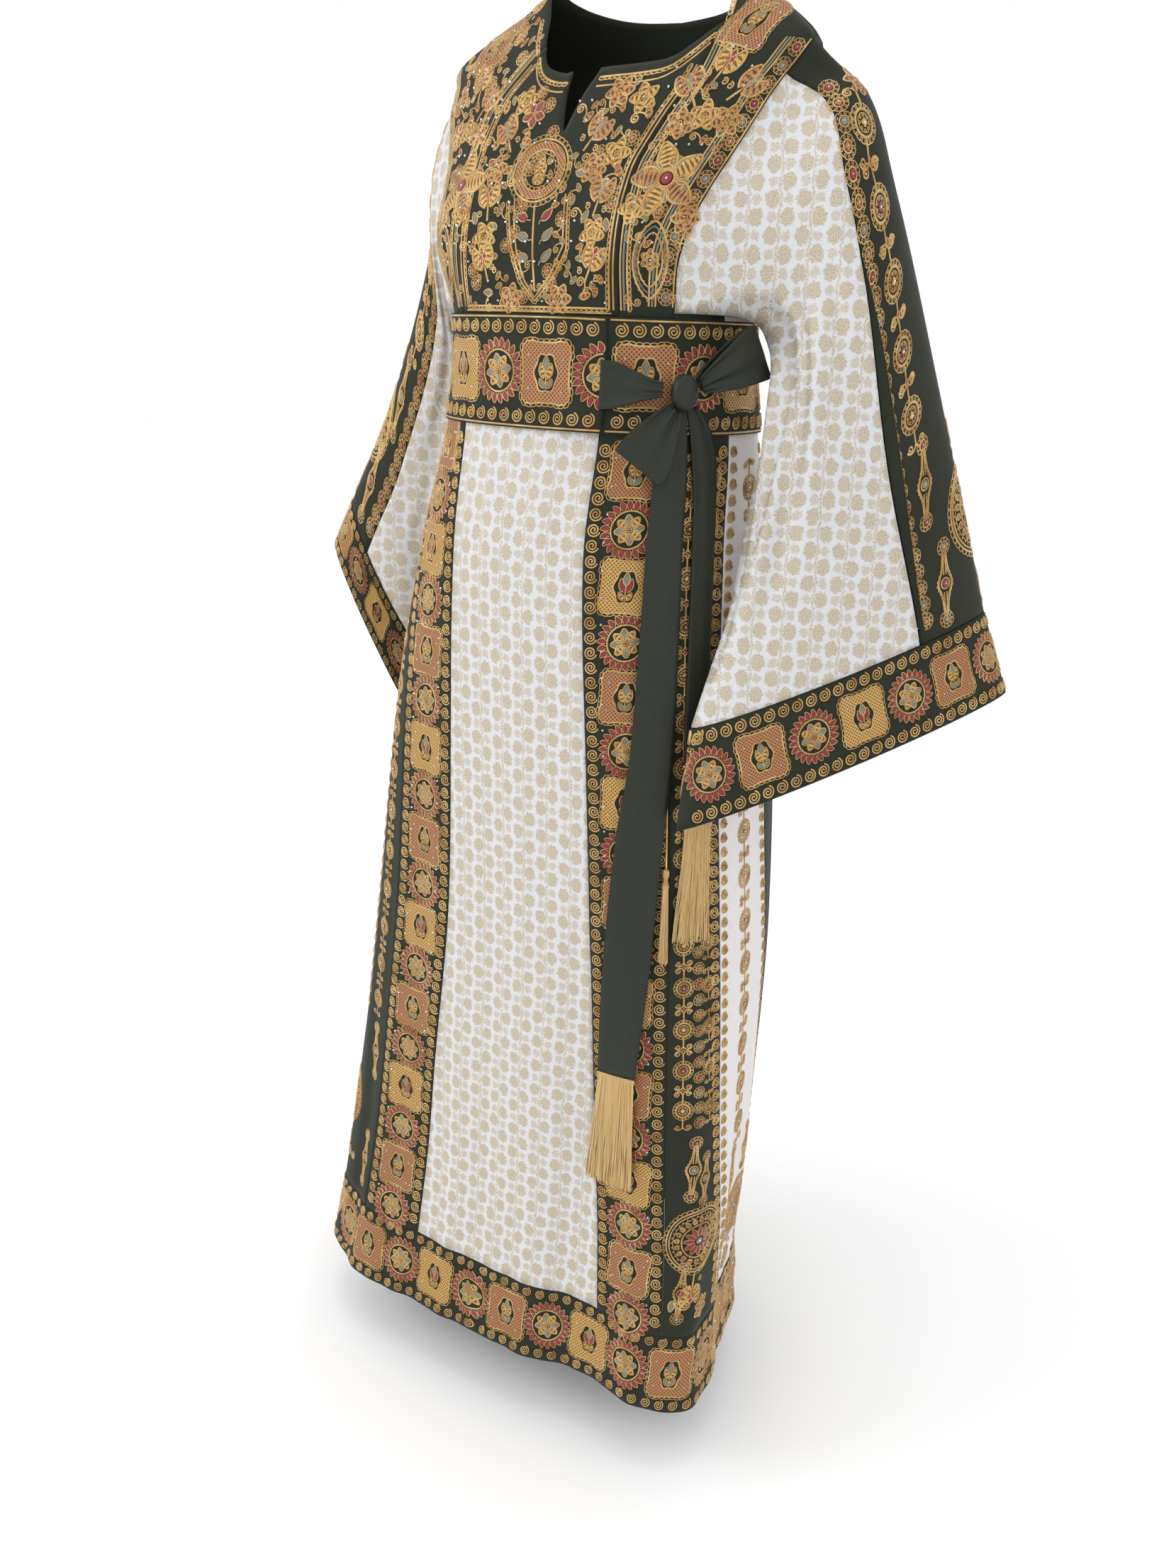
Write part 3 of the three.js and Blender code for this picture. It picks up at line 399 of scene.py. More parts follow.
for k in range(TASSEL_STRANDS):
    way = k * 2.4
    reach = 3.6 * math.sqrt((k + 0.5) / TASSEL_STRANDS)
    end = TASSEL_END + random.uniform(0, 7)
    path = []
    for t in (0, 0.25, 0.5, 0.75, 1):
        z = TASSEL_NECK - 3 + t * (end - TASSEL_NECK + 3)
        r = reach * (0.75 + 0.65 * t)
        middle = form.at(TASSEL_ARC + (TASSEL_TOP - z) * 0.04, z, TASSEL_OFF)
        path.append(middle + np.array([r * math.cos(way), r * math.sin(way) * 0.8, 0]))
    strands.append(path)
piece("tassel_strands", strand_mesh("tassel_strands", strands, 0.9), [], "gold_thread", YARN)


# ---- Brocade front panel ----
# Ivory satin brocade: rows of round sprigs with a curved leaf at each, woven in a dull pale gold weft. It
# is cut as one length from the waist seam to the hem band.

SEAMS = {
    # height, arc from the centre front
    "front_right": [(-306, -88), (-405, -84), (-520, -77), (-700, -64), (-900, -66),
                    (-1118, -84), (-1338, -93)],
    "band_right": [(-306, -141), (-405, -160), (-520, -164), (-700, -146), (-900, -148),
                   (-1118, -166), (-1338, -176)],
    "front_left": [(-306, 78), (-405, 78), (-520, 81), (-710, 103), (-924, 118), (-1140, 132), (-1338, 154)],
    "band_left": [(-306, 141), (-405, 153), (-520, 165), (-710, 186), (-924, 200),
                  (-1140, 214), (-1338, 236)],
    "gore_near": [(-299, 200), (-405, 212), (-520, 224), (-782, 249), (-956, 265),
                  (-1146, 287), (-1338, 328)],
    "gore_far": [(-299, 268), (-405, 290), (-520, 310), (-810, 347), (-1002, 381), (-1338, 445)],
}
SPRIG = (27.0, 29.5)
BROCADE_THICK = 1.5


def seam(name):
    return lambda z: read(SEAMS[name], z)


def woven_sprigs():
    # Satin ground with a metallic weft: fringed round sprigs stand in turn left and right of wavy stems, with
    # a bud in each space. The weft is duller, darker and grainier than the smooth ground.
    material, tree, shader = finish("woven_brocade", Roughness=0.5)
    shader.inputs["Sheen Weight"].default_value = 0.2
    uv = add(tree, "TexCoord")
    shaken = add(tree, "TexNoise", {"Vector": uv.outputs["UV"], "Scale": 0.35, "Detail": 2.0},
                 normalize=False)
    drawn = add(tree, "VectorMath", {0: shaken.outputs["Color"], 1: (2.2, 2.2, 0), 2: uv.outputs["UV"]},
                operation="MULTIPLY_ADD")

    def offset(x, y):
        """Place in the repeat, from the point at these shares of it."""
        moved = add(tree, "VectorMath", {0: drawn, 1: (1 / SPRIG[0], 1 / SPRIG[1], 0),
                                         2: (0.5 - x, 0.5 - y, 0)}, operation="MULTIPLY_ADD")
        inside = add(tree, "VectorMath", {0: moved}, operation="FRACTION")
        return add(tree, "VectorMath", {0: inside, 1: (0.5, 0.5, 0)}, operation="SUBTRACT")

    def rounds(places, half_x, half_y):
        """Share of the way from the nearest centre to the rim of its oval."""
        far = []
        for x, y in places:
            grow = (SPRIG[0] / half_x, SPRIG[1] / half_y, 0)
            scaled = add(tree, "VectorMath", {0: offset(x, y), 1: grow}, operation="MULTIPLY")
            far.append(add(tree, "VectorMath", {0: scaled}, operation="LENGTH").outputs["Value"])
        return add(tree, "Math", {0: far[0], 1: far[1]}, operation="MINIMUM")

    sprig_far = rounds(((0.25, 0.25), (0.75, 0.75)), 6.4, 7.9)
    sprig = add(tree, "MapRange", {"Value": sprig_far, "From Min": 1.05, "From Max": 0.9})
    bud_far = rounds(((0.75, 0.25), (0.25, 0.75)), 4.2, 4.6)
    bud = add(tree, "MapRange", {"Value": bud_far, "From Min": 1.08, "From Max": 0.86,
                                 "To Max": 0.75})
    along_stem = add(tree, "SeparateXYZ", {"Vector": offset(0.5, 0.5)})
    turn = add(tree, "Math", {0: along_stem.outputs["Y"], 1: 2 * math.pi}, operation="MULTIPLY")
    sway = add(tree, "Math", {0: turn}, operation="SINE")
    stem_off = add(tree, "Math", {0: sway, 1: 0.035, 2: along_stem.outputs["X"]},
                   operation="MULTIPLY_ADD")
    stem_far = add(tree, "Math", {0: stem_off}, operation="ABSOLUTE")
    stem = add(tree, "MapRange", {"Value": stem_far, "From Min": 0.038, "From Max": 0.026,
                                  "To Max": 0.9})
    both = add(tree, "Math", {0: sprig, 1: bud}, operation="MAXIMUM")
    mask = add(tree, "Math", {0: both, 1: stem}, operation="MAXIMUM", use_clamp=True)
    grain = add(tree, "TexNoise", {"Vector": uv.outputs["UV"], "Scale": 0.9, "Detail": 2.0})
    grainy = add(tree, "MapRange", {"Value": grain.outputs["Fac"], "From Min": 0.36, "From Max": 0.64,
                                    "To Min": 0.3, "To Max": 1.0})
    gilt = add(tree, "Math", {0: mask, 1: grainy}, operation="MULTIPLY")
    colour = add(tree, "MixRGB", {"Fac": gilt, "Color1": to_linear("#d2d3d6"),
                                  "Color2": to_linear("#b3a077")})
    metal = add(tree, "Math", {0: gilt, 1: 0.45}, operation="MULTIPLY")
    tree.links.new(metal.outputs[0], shader.inputs["Metallic"])
    thread = add(tree, "TexWave", {"Vector": uv.outputs["UV"], "Scale": 0.5, "Distortion": 1.0,
                                   "Detail": 2.0})
    relief = add(tree, "Math", {0: thread.outputs["Fac"], 1: 0.25, 2: gilt},
                 operation="MULTIPLY_ADD")
    surface(tree, shader, colour, relief, 0.35, 0.0006)
    return material


BROCADE = woven_sprigs()


def panel(name, laid, size, thick, material, slot, hole=None, weave=None):
    """A sheet of cloth. laid(u, v) gives its points in mm for shares across (0..1) and up (0..1)."""
    cols, rows = size
    bm = bmesh.new()
    uv = bm.loops.layers.uv.new("cloth")
    bmesh.ops.create_grid(bm, x_segments=cols, y_segments=rows, size=0.5)
    bm.verts.ensure_lookup_table()
    shares = np.array([(vert.co.x + 0.5, vert.co.y + 0.5) for vert in bm.verts])
    points = laid(shares[:, 0], shares[:, 1])
    for vert, point in zip(bm.verts, points):
        vert.co = point / 1000
    # cloth coordinates for the weave: along each row from its middle, and up the middle column
    order = np.lexsort((shares[:, 0].round(6), shares[:, 1].round(6))).reshape(rows + 1, cols + 1)
    grid = points[order]
    run = np.zeros(order.shape)
    run[:, 1:] = np.cumsum(np.linalg.norm(np.diff(grid, axis=1), axis=2), axis=1)
    run -= run[:, cols // 2][:, None]
    climb = run_of(grid[:, cols // 2])
    flat = np.empty((len(shares), 2))
    flat[order] = np.stack([run, np.repeat(climb[:, None], cols + 1, axis=1)], -1)
    if weave:
        flat = points @ np.array(weave).T
    for face in bm.faces:
        face.smooth = True
        for loop in face.loops:
            loop[uv].uv = flat[loop.vert.index]
    if hole:
        cut = [face for face in bm.faces if hole(*shares[[vert.index for vert in face.verts]].mean(axis=0))]
        bmesh.ops.delete(bm, geom=cut, context="FACES")
    area = sum(face.calc_area() for face in bm.faces)
    mesh = bpy.data.meshes.new(name + "_cloth")
    bm.to_mesh(mesh)
    bm.free()
    sheet = piece(name + "_cloth", mesh, [name], slot, material)
    shell = sheet.modifiers.new("thickness", "SOLIDIFY")
    shell.thickness = thick / 1000
    shell.offset = -1
    width = float(np.ptp(run, axis=1).max()) / 1000
    return sheet


def between(left, right, top, foot):
    """Points of the skirt between two seams, from its foot to its top."""
    def laid(u, v):
        z = foot + v * (top - foot)
        low, high = left(z) + SEAM_GAP / 2, right(z) - SEAM_GAP / 2
        return body.at(low + u * (high - low), z)
    return laid


FRONT_TOP = WAIST_FRONT - SEAM_GAP
SIDE_TOP = WAIST_SIDE - SEAM_GAP
SKIRT_FOOT = HEM_TOP + SEAM_GAP / 2
panel("front_panel", between(seam("front_right"), seam("front_left"), FRONT_TOP, SKIRT_FOOT), (34, 130),
      BROCADE_THICK, BROCADE, "ivory_brocade")


# ---- Crepe panels of the skirt ----
# Bottle-green crepe, lined and stiffened where it is embroidered: a band on each side of the front panel, a
# side panel beyond each band, one plain panel behind and a hem band all round. All are seamed edge to edge.

STITCHED_THICK = 2.0


def crepe():
    # Crepe: hard-twisted polyester yarns leave a fine dry pebble and almost no shine.
    material, tree, shader = finish("dark_green_crepe", Roughness=0.78)
    shader.inputs["Sheen Weight"].default_value = 0.05
    shader.inputs["Sheen Roughness"].default_value = 0.4
    shader.inputs["Specular IOR Level"].default_value = 0.3
    uv = add(tree, "TexCoord")
    pebble = add(tree, "TexNoise", {"Vector": uv.outputs["UV"], "Scale": 1.1, "Detail": 3.0})
    cloud = add(tree, "TexNoise", {"Vector": uv.outputs["UV"], "Scale": 0.012, "Detail": 2.0})
    tone = add(tree, "MixRGB", {"Fac": cloud.outputs["Fac"], "Color1": to_linear("#1d2117"),
                                "Color2": to_linear("#272b1d")})
    surface(tree, shader, tone, pebble.outputs["Fac"], 0.4, 0.0004)
    return material


CREPE = crepe()


def mirrored(name):
    return lambda z: girth(z) - read(SEAMS[name], z)


def minus(name):
    return lambda z: -read(SEAMS[name], z)


skirt_pieces = [
    # name, from, to, top, columns
    ("front_band_r", seam("band_right"), seam("front_right"), FRONT_TOP, 16),
    ("front_band_l", seam("front_left"), seam("band_left"), FRONT_TOP, 16),
    ("side_panel_l", seam("band_left"), seam("gore_near"), SIDE_TOP, 18),
    ("side_panel_r", minus("gore_near"), seam("band_right"), SIDE_TOP, 24),
    ("back_panel", seam("gore_far"), mirrored("gore_far"), SIDE_TOP, 120),
]
for name, left, right_seam, top, cols in skirt_pieces:
    thick = BROCADE_THICK if name == "back_panel" else STITCHED_THICK
    panel(name, between(left, right_seam, top, SKIRT_FOOT), (cols, 120), thick, CREPE, "green_crepe")
HEM_SEAM = HEM_TOP - SEAM_GAP / 2
for name, left, right_seam in (("front", lambda z: -side_arc(-1, z), lambda z: side_arc(1, z)),
                               ("back", lambda z: side_arc(1, z), lambda z: girth(z) - side_arc(-1, z))):
    panel("hem_band_" + name, between(left, right_seam, HEM_SEAM, HEM), (150, 10), STITCHED_THICK, CREPE,
          "green_crepe")


# ---- Satin gores ----
# White polyester satin let into each side of the skirt, soft and smooth, with long hanging folds.

def satin(name, low, high, rough):
    # Satin: long floats of bright filament, so a broad soft highlight and a faint ribbing.
    material, tree, shader = finish(name, Roughness=rough)
    shader.inputs["Specular IOR Level"].default_value = 0.4
    shader.inputs["Anisotropic"].default_value = 0.4
    uv = add(tree, "TexCoord")
    fine = add(tree, "Mapping", {"Vector": uv.outputs["UV"], "Scale": (0.8, 0.05, 1)})
    floats = add(tree, "TexNoise", {"Vector": fine, "Scale": 1.0, "Detail": 2.0})
    tone = add(tree, "MixRGB", {"Fac": floats.outputs["Fac"], "Color1": to_linear(low),
                                "Color2": to_linear(high)})
    coarse = add(tree, "Mapping", {"Vector": uv.outputs["UV"], "Scale": (0.03, 0.008, 1)})
    drag = add(tree, "TexNoise", {"Vector": coarse, "Scale": 1.0, "Detail": 2.0})
    height = add(tree, "Math", {0: drag.outputs["Fac"], 1: 8.0, 2: floats.outputs["Fac"]},
                 operation="MULTIPLY_ADD")
    surface(tree, shader, tone, height, 0.5, 0.0007)
    return material


WHITE_SATIN = satin("white_satin_weave", "#d6d2d1", "#e6e2e1", 0.38)
for name, left, right_seam in (("side_gore_l", seam("gore_near"), seam("gore_far")),
                               ("side_gore_r", minus("gore_far"), minus("gore_near"))):
    panel(name, between(left, right_seam, SIDE_TOP, SKIRT_FOOT), (28, 120), BROCADE_THICK, WHITE_SATIN,
          "white_satin")


# ---- Bodice ----
# The chest panel with its neck slit, a yoke over each shoulder and the back bodice, all green crepe. The
# chest and the yokes are stiff with embroidery; the slit's edges fall open.

CHEST_COLUMNS = 27
SLIT_TOP = -93.5
SLIT_FOOT = -147.0
CHEST_SEAM = {
    1: [(-56, 124), (-88, 121), (-112, 117), (-136, 106), (-158, 97), (-180, 90), (-252, 90), (-306, 91)],
    -1: [(-68, 58), (-108, 84), (-150, 97), (-180, 99), (-232, 95), (-306, 91)],
}
ARM_SEAM = [(-102, 196), (-134, 184), (-194, 161), (-250, 145), (-299, 141), (-306, 141)]
ARM_ROWS = np.array([-10, -30, -48, -69, -86, -102, -125, -155, -190, -225, -262, WAIST_SIDE])
YOKE_ROWS = np.array([-56, -62, -70, -80, -94, -112, -136, -164, -196, -228, -260, -290, WAIST_FRONT])
ROW_SHARES = (YOKE_ROWS - YOKE_ROWS[0]) / (WAIST_FRONT - YOKE_ROWS[0])
SHOULDER = -69.0
NECKLINES = {
    1: [(0, -93), (0.36, -92), (0.56, -91), (0.75, -87), (0.9, -71), (1, -56)],
    -1: [(0, -94), (0.24, -95), (0.6, -87), (1, -68)],
}
BACK_NECK = [(0, -32), (0.4, -29), (0.7, -22), (1, -10)]


def arm_arc(side, z):
    """Arc of the front arm seam; above the shoulder tip it is the shoulder seam itself."""
    z = np.asarray(z, float)
    t = np.clip((SHOULDER - z) / (SHOULDER + 102), 0, 1)
    tip = side_arc(side, SHOULDER)
    return np.where(z > SHOULDER - 1e-6, side_arc(side, z), tip + t * (read(ARM_SEAM, z) - tip))


def back_arc(side, z):
    half, shoulder = girth(z) / 2, side_arc(side, z)
    return half - arm_arc(side, z) * (half - shoulder) / shoulder


def chest(u, v):
    """Points of the chest; its middle column of faces is the neck slit, whose edges fall open."""
    half = CHEST_COLUMNS // 2
    k = np.rint(u * CHEST_COLUMNS)
    side = np.where(k <= half, -1, 1)
    out = np.where(k <= half, half - k, k - half - 1) / half
    t = 1 - v
    neck = np.where(side > 0, read(NECKLINES[1], out), read(NECKLINES[-1], out))
    middle = np.where(side > 0, NECKLINES[1][0][1], NECKLINES[-1][0][1])
    z = neck + t * (WAIST_FRONT - neck)
    z_slit = middle + t * (WAIST_FRONT - middle)
    reach = np.where(side > 0, read(CHEST_SEAM[1], z), read(CHEST_SEAM[-1], z)) - SEAM_GAP
    spread = np.clip((z_slit - SLIT_FOOT) / 53, 0, 1)
    edge = np.where(side > 0, 4 + 16 * spread, 2 - 13 * spread)
    share = np.clip(out / 0.24, 0, 1)
    arc = np.where(out < 0.24, edge + share * (side * 0.24 * reach - edge), side * out * reach)
    return body.at(arc, z)


def slit(u, v):
    z = SLIT_TOP + (1 - v) * (WAIST_FRONT - SLIT_TOP)
    return abs(u - 0.5) < 0.5 / CHEST_COLUMNS and z > SLIT_FOOT


def yoke(side):
    def laid(u, v):
        u = u if side > 0 else 1 - u
        k = (1 - v) * 12
        t = np.interp(k, range(13), ROW_SHARES)
        arm_z = np.interp(k, range(13), np.append(ARM_ROWS, WAIST_FRONT))
        inner = NECKLINES[side][-1][1] + t * (WAIST_FRONT - NECKLINES[side][-1][1])
        start = read(CHEST_SEAM[side], inner) + 1.4 * SEAM_GAP
        end = arm_arc(side, arm_z) - SEAM_GAP / 2
        return body.at(side * (start + u * (end - start)), inner + u * (arm_z - inner))
    return laid


def back_bodice(u, v):
    u = 2 * u - 1
    row = np.interp((1 - v) * 11, range(12), ARM_ROWS)
    t = (row - ARM_ROWS[0]) / (WAIST_SIDE - ARM_ROWS[0])
    neck = read(BACK_NECK, np.abs(u))
    z = neck + t * (WAIST_SIDE - neck)
    back = np.where(u < 0, back_arc(1, row), back_arc(-1, row))
    return body.at(girth(z) / 2 + u * (girth(row) / 2 - back - SEAM_GAP / 2), z)


panel("chest_panel", chest, (CHEST_COLUMNS, 44), STITCHED_THICK, CREPE, "green_crepe", hole=slit)
panel("yoke_l", yoke(1), (16, 48), STITCHED_THICK, CREPE, "green_crepe")
panel("yoke_r", yoke(-1), (16, 48), STITCHED_THICK, CREPE, "green_crepe")
panel("back_bodice", back_bodice, (48, 44), BROCADE_THICK, CREPE, "green_crepe")


# ---- Sleeves ----
# Wide hanging sleeves, pressed flat by their weight. A green embroidered panel runs down the outer edge,
# ivory brocade makes the rest, and a deep embroidered cuff finishes each.

SLEEVES = {
    # station, outer edge x y z, inner edge x y z, front, back
    "l": (1, (0.5, -0.85, 0), [
        (0.13, 242, 31, -117, 178, -8, -314, 60, 44),
        (0.33, 264, 50, -193, 206, -34, -360, 52, 40),
        (0.67, 306, 95, -358, 203, -78, -530, 48, 40),
        (1, 367, 128, -565, 190, -127, -664, 42, 36),
        (2, 402, 121, -640, 189, -143, -762, 44, 38),
    ]),
    "r": (-1, (0.1, -1, 0), [
        (0.13, -205, 6, -129, -172, 8, -321, 52, 43),
        (0.33, -231, -2, -241, -180, 19, -401, 47, 41),
        (0.67, -284, -10, -394, -222, 20, -560, 48, 40),
        (1, -336, -26, -509, -248, 14, -700, 50, 40),
        (2, -353, -42, -562, -254, -2, -778, 52, 42),
    ]),
}
PANEL_ANGLE = [(0, 20), (0.06, 38), (0.14, 58), (0.22, 70), (0.33, 82), (0.67, 77), (1, 66), (2, 60)]
SLEEVE_INSET = 0.5
CUFF_DEPTH = 84.0
ROOT_ROWS = 2


def unit(v):
    return v / np.linalg.norm(v, axis=-1, keepdims=True)


class Sleeve:
    """One sleeve: its root on the body, and the flattened rings below."""

    def __init__(self, side, facing, rings):
        self.side = side
        rows = ARM_ROWS[3:]
        front, back = arm_arc(side, rows) + 0.4, back_arc(side, rows) - 0.4
        zs = rows.astype(float)
        front[0], front_z = arm_arc(side, rows[0]), zs.copy()
        front_z[0] -= 0.4
        low, low_back = arm_arc(side, WAIST_SIDE), back_arc(side, WAIST_SIDE)
        middle = side_arc(side, WAIST_SIDE)
        foot = [low + t * (middle - low) for t in (1 / 3, 2 / 3, 1)]
        foot += [low_back + t * (middle - low_back) for t in (2 / 3, 1 / 3)]
        arc = side * np.concatenate([front, foot, back[:0:-1]])
        z = np.concatenate([front_z, [WAIST_SIDE] * 5, zs[:0:-1]])
        self.arc, self.z = arc, z
        self.p = form.at(arc, z)
        normal = unit(form.pick(form.normals, arc, z))
        level = unit(normal * (1, 1, 0))
        across = -side * np.cross(unit(np.roll(self.p, -1, axis=0) - np.roll(self.p, 1, axis=0)), normal)
        k, corner, count = np.arange(len(arc)), len(rows) - 1, len(arc)
        under = ((k > corner) & (k < count - corner))[:, None]
        edge = ((k == corner) | (k == count - corner))[:, None]
        self.go = unit(np.where(under, level, np.where(edge, across + level, across)))
        self.count = count
        outer = np.array([row[1:4] for row in rings], float)
        inner = np.array([row[4:7] for row in rings], float)
        self.stations = [0] + [row[0] for row in rings[:-1]]
        self.middle = (outer + inner) / 2
        self.half = outer - self.middle
        self.depth = [row[7:9] for row in rings]
        before = np.vstack([(self.p[0] + self.p[count // 2]) / 2, self.middle[:-1]])
        after = np.vstack([self.middle[1:], self.middle[-1:]])
        deep = unit(np.cross(self.half, after - before))
        self.deep = deep * np.sign(deep @ np.array(facing))[:, None]

    def on(self, k, angle):
        depth = np.where(np.sin(angle) > 0, *self.depth[k]) * np.sin(angle)
        return self.middle[k] + np.cos(angle)[:, None] * self.half[k] + depth[:, None] * self.deep[k]

    def root(self, panel_part, u):
        k = -ROOT_ROWS + u * 2 * ROOT_ROWS if panel_part else ROOT_ROWS + u * (self.count - 2 * ROOT_ROWS)
        low = np.floor(k).astype(int)
        t = k - low
        pick = lambda field: (field[low % self.count].T * (1 - t) + field[(low + 1) % self.count].T * t).T
        arc, z = pick(self.arc), pick(self.z)
        up_back = low % self.count >= self.count - len(ARM_ROWS) + 4
        arc = np.where(up_back, self.side * (back_arc(self.side, z) - 0.4), arc)
        return form.at(arc, z), unit(pick(self.go))

    def point(self, panel_part, u, station):
        """Points at shares u of the outer panel, or of the brocade, at one station down the sleeve."""
        edge = math.radians(float(read(PANEL_ANGLE, station)))
        angle = -edge + u * 2 * edge if panel_part else edge + u * (2 * math.pi - 2 * edge)
        return self.at_angle(angle, station, self.root(panel_part, u))

    def at_angle(self, angle, station, root=None):
        if station > 1 or root is None:
            return self.on(3, angle) * (2 - station) + self.on(4, angle) * (station - 1)
        start, go = root
        knots = [start] + [self.on(k, angle) for k in range(4)]
        at = self.stations
        i = min(max(np.searchsorted(at, station) - 1, 0), len(at) - 2)
        h = at[i + 1] - at[i]
        t = (station - at[i]) / h

        def tangent(k):
            if k == 0:
                return go * np.linalg.norm(knots[1] - knots[0], axis=1)[:, None] * 0.9
            low, high = k - 1, min(k + 1, len(at) - 1)
            return (knots[high] - knots[low]) * (h / (at[high] - at[low]))
        t2, t3 = t * t, t * t * t
        return ((2 * t3 - 3 * t2 + 1) * knots[i] + (t3 - 2 * t2 + t) * tangent(i)
                + (3 * t2 - 2 * t3) * knots[i + 1] + (t3 - t2) * tangent(i + 1))


def sleeve_cloth(sleeve):
    """The outer panel's surface: a across from its middle line, b down from the shoulder tip (negative)."""
    stations = np.linspace(0, 1, 61)
    rows = [sleeve.point(True, np.linspace(0, 1, 17), s) for s in stations]
    middle = np.array([row[8] for row in rows])
    width = np.array([run_of(row)[-1] for row in rows])
    down = run_of(middle)
    a, b = np.arange(-100.0, 104.0, 4.0), np.arange(-4.0 * (down[-1] // 4), 1.0, 4.0)
    points = []
    for z in b:
        station, shares = np.interp(-z, down, stations), np.linspace(0, 1, 33)
        row = sleeve.point(True, shares, station)
        run = run_of(row)
        way = run[-1] / 2 - sleeve.side * a
        inside = np.clip(way, 0, run[-1])
        points.append(sleeve.point(True, np.interp(inside, run, shares) + (way - inside) / run[-1], station))
    points = np.array(points)
    return Cloth(a, b, points), float(down[-1]), lambda z: np.interp(-z, down, width)


def cuff_cloth(sleeve):
    """The cuff's surface all round: a from the outer edge, b down from the cuff's seam (negative)."""
    turns = np.linspace(-1.5 * np.pi, 1.5 * np.pi, 541)
    b = np.arange(-CUFF_DEPTH, 1.0, 4.0)
    a = np.arange(-420.0, 424.0, 4.0)
    points = []
    for z in b:
        ring_points = sleeve.at_angle(turns, 1 - z / CUFF_DEPTH)
        run = run_of(ring_points)
        run -= run[len(turns) // 2]
        points.append(sleeve.at_angle(np.interp(-sleeve.side * a, run, turns), 1 - z / CUFF_DEPTH))
    once = sleeve.at_angle(np.linspace(-np.pi, np.pi, 181), 1.5)
    return Cloth(a, b, np.array(points)), float(run_of(once)[-1])


def grid_of(rows_at, stations, sleeve):
    """A laid() function from rows of points at stations of a sleeve; v = 1 is the first station."""
    def laid(u, v):
        station_of = np.interp(1 - v, np.linspace(0, 1, len(stations)), stations)
        points = np.empty((len(u), 3))
        for s in np.unique(station_of.round(6)):
            here = np.abs(station_of - s) < 1e-5
            points[here] = rows_at(u[here], s, sleeve)
        return points
    return laid


def share_of(u, side, width):
    """Shares across a part about so wide in mm, clear of its seams, in the direction the sleeve counts."""
    share = np.clip(u, SLEEVE_INSET / width, 1 - SLEEVE_INSET / width)
    return share if side < 0 else 1 - share


def outer_rows(u, s, sleeve):
    return sleeve.point(True, share_of(u, sleeve.side, 90), s)


def brocade_rows(u, s, sleeve):
    """The brocade, in hanging folds that die away at its seams."""
    share = share_of(u, sleeve.side, 400)
    across = [sleeve.point(False, np.clip(share + step, 0, 1), s) for step in (-0.01, 0.01)]
    down = [sleeve.point(False, share, min(max(s + step, 0), 1)) for step in (-0.02, 0.02)]
    out = sleeve.side * unit(np.cross(across[1] - across[0], down[1] - down[0]))
    soft = np.sin(np.pi * np.clip(s * 1.1, 0, 1)) * np.sin(np.pi * share)
    wave = 6.4 * np.sin(share * 27 + s * 4) + 3.8 * np.sin(share * 45 - s * 6 + 1)
    wave += 1.4 * np.sin(share * 80 + s * 5)
    return sleeve.point(False, share, s) + out * (wave * soft)[:, None]


SLEEVE_CLOTHS = {}
CUFF_CLOTHS = {}
GRAIN = {"l": ((0.86, 0.51, 0), (-0.1, 0.17, 0.98)), "r": ((1, 0, 0), (0, 0.1, 0.99))}
LAST_STATION = 0.9985
FIRST_CUFF_STATION = 1.0015
for tag, (side, facing, rings) in SLEEVES.items():
    sleeve = Sleeve(side, facing, rings)
    SLEEVE_CLOTHS[tag] = sleeve_cloth(sleeve)
    CUFF_CLOTHS[tag] = cuff_cloth(sleeve)
    stations = np.linspace(0, LAST_STATION, 73)
    panel("sleeve_" + tag + "_outer", grid_of(outer_rows, stations, sleeve), (20, 72),
          STITCHED_THICK, CREPE, "green_crepe")
    panel("sleeve_" + tag + "_brocade", grid_of(brocade_rows, stations, sleeve), (72, 72),
          BROCADE_THICK, BROCADE, "ivory_brocade", weave=GRAIN[tag])
    for half, start in (("front", 0.0), ("back", math.pi)):
        def cuff_rows(u, s, sleeve, start=start):
            return sleeve.at_angle(start + share_of(u, sleeve.side, 240) * math.pi, s)
        stations = np.linspace(FIRST_CUFF_STATION, 2, 9)
        panel("cuff_" + tag + "_" + half, grid_of(cuff_rows, stations, sleeve), (48, 8),
              STITCHED_THICK, CREPE, "green_crepe")


# ---- Belt ----
# A wide stiff crepe belt over canvas. Its loose end lies over the front and is held by the sash.

BELT_TOP = -303.5
BELT_FOOT = -405.0
BELT_THICK = 2.4
REST = 0.8
BELT_END = 81.0
BELT_FROM = 50.0
BELT_LIFT = 30.0


def belt_lift(arc):
    t = np.clip((arc - BELT_LIFT) / (BELT_FROM - BELT_LIFT - 4), 0, 1)
    return REST + (BELT_THICK + REST) * t * t * (3 - 2 * t)


def belt_front(u, v):
    z = BELT_FOOT + v * (BELT_TOP - BELT_FOOT)
    low = SEAM_GAP / 2 - side_arc(-1, z)
    arc = low + u * (BELT_END - low)
    return form.at(arc, z, belt_lift(arc) + BELT_THICK)


def belt_back(u, v):
    z = BELT_FOOT + v * (BELT_TOP - BELT_FOOT)
    high = girth(z) - side_arc(-1, z) - SEAM_GAP / 2
    return form.at(BELT_FROM + u * (high - BELT_FROM), z, REST + BELT_THICK)


panel("belt_front", belt_front, (100, 14), BELT_THICK, CREPE, "green_crepe")
panel("belt_back", belt_back, (220, 14), BELT_THICK, CREPE, "green_crepe")


# ---- Sash ----
# Green satin tied in a bow over the belt: a strap from the belt's end, two loops, a wrapped knot and two
# tails that hang over the skirt. Everything is folded satin, held by the knot.

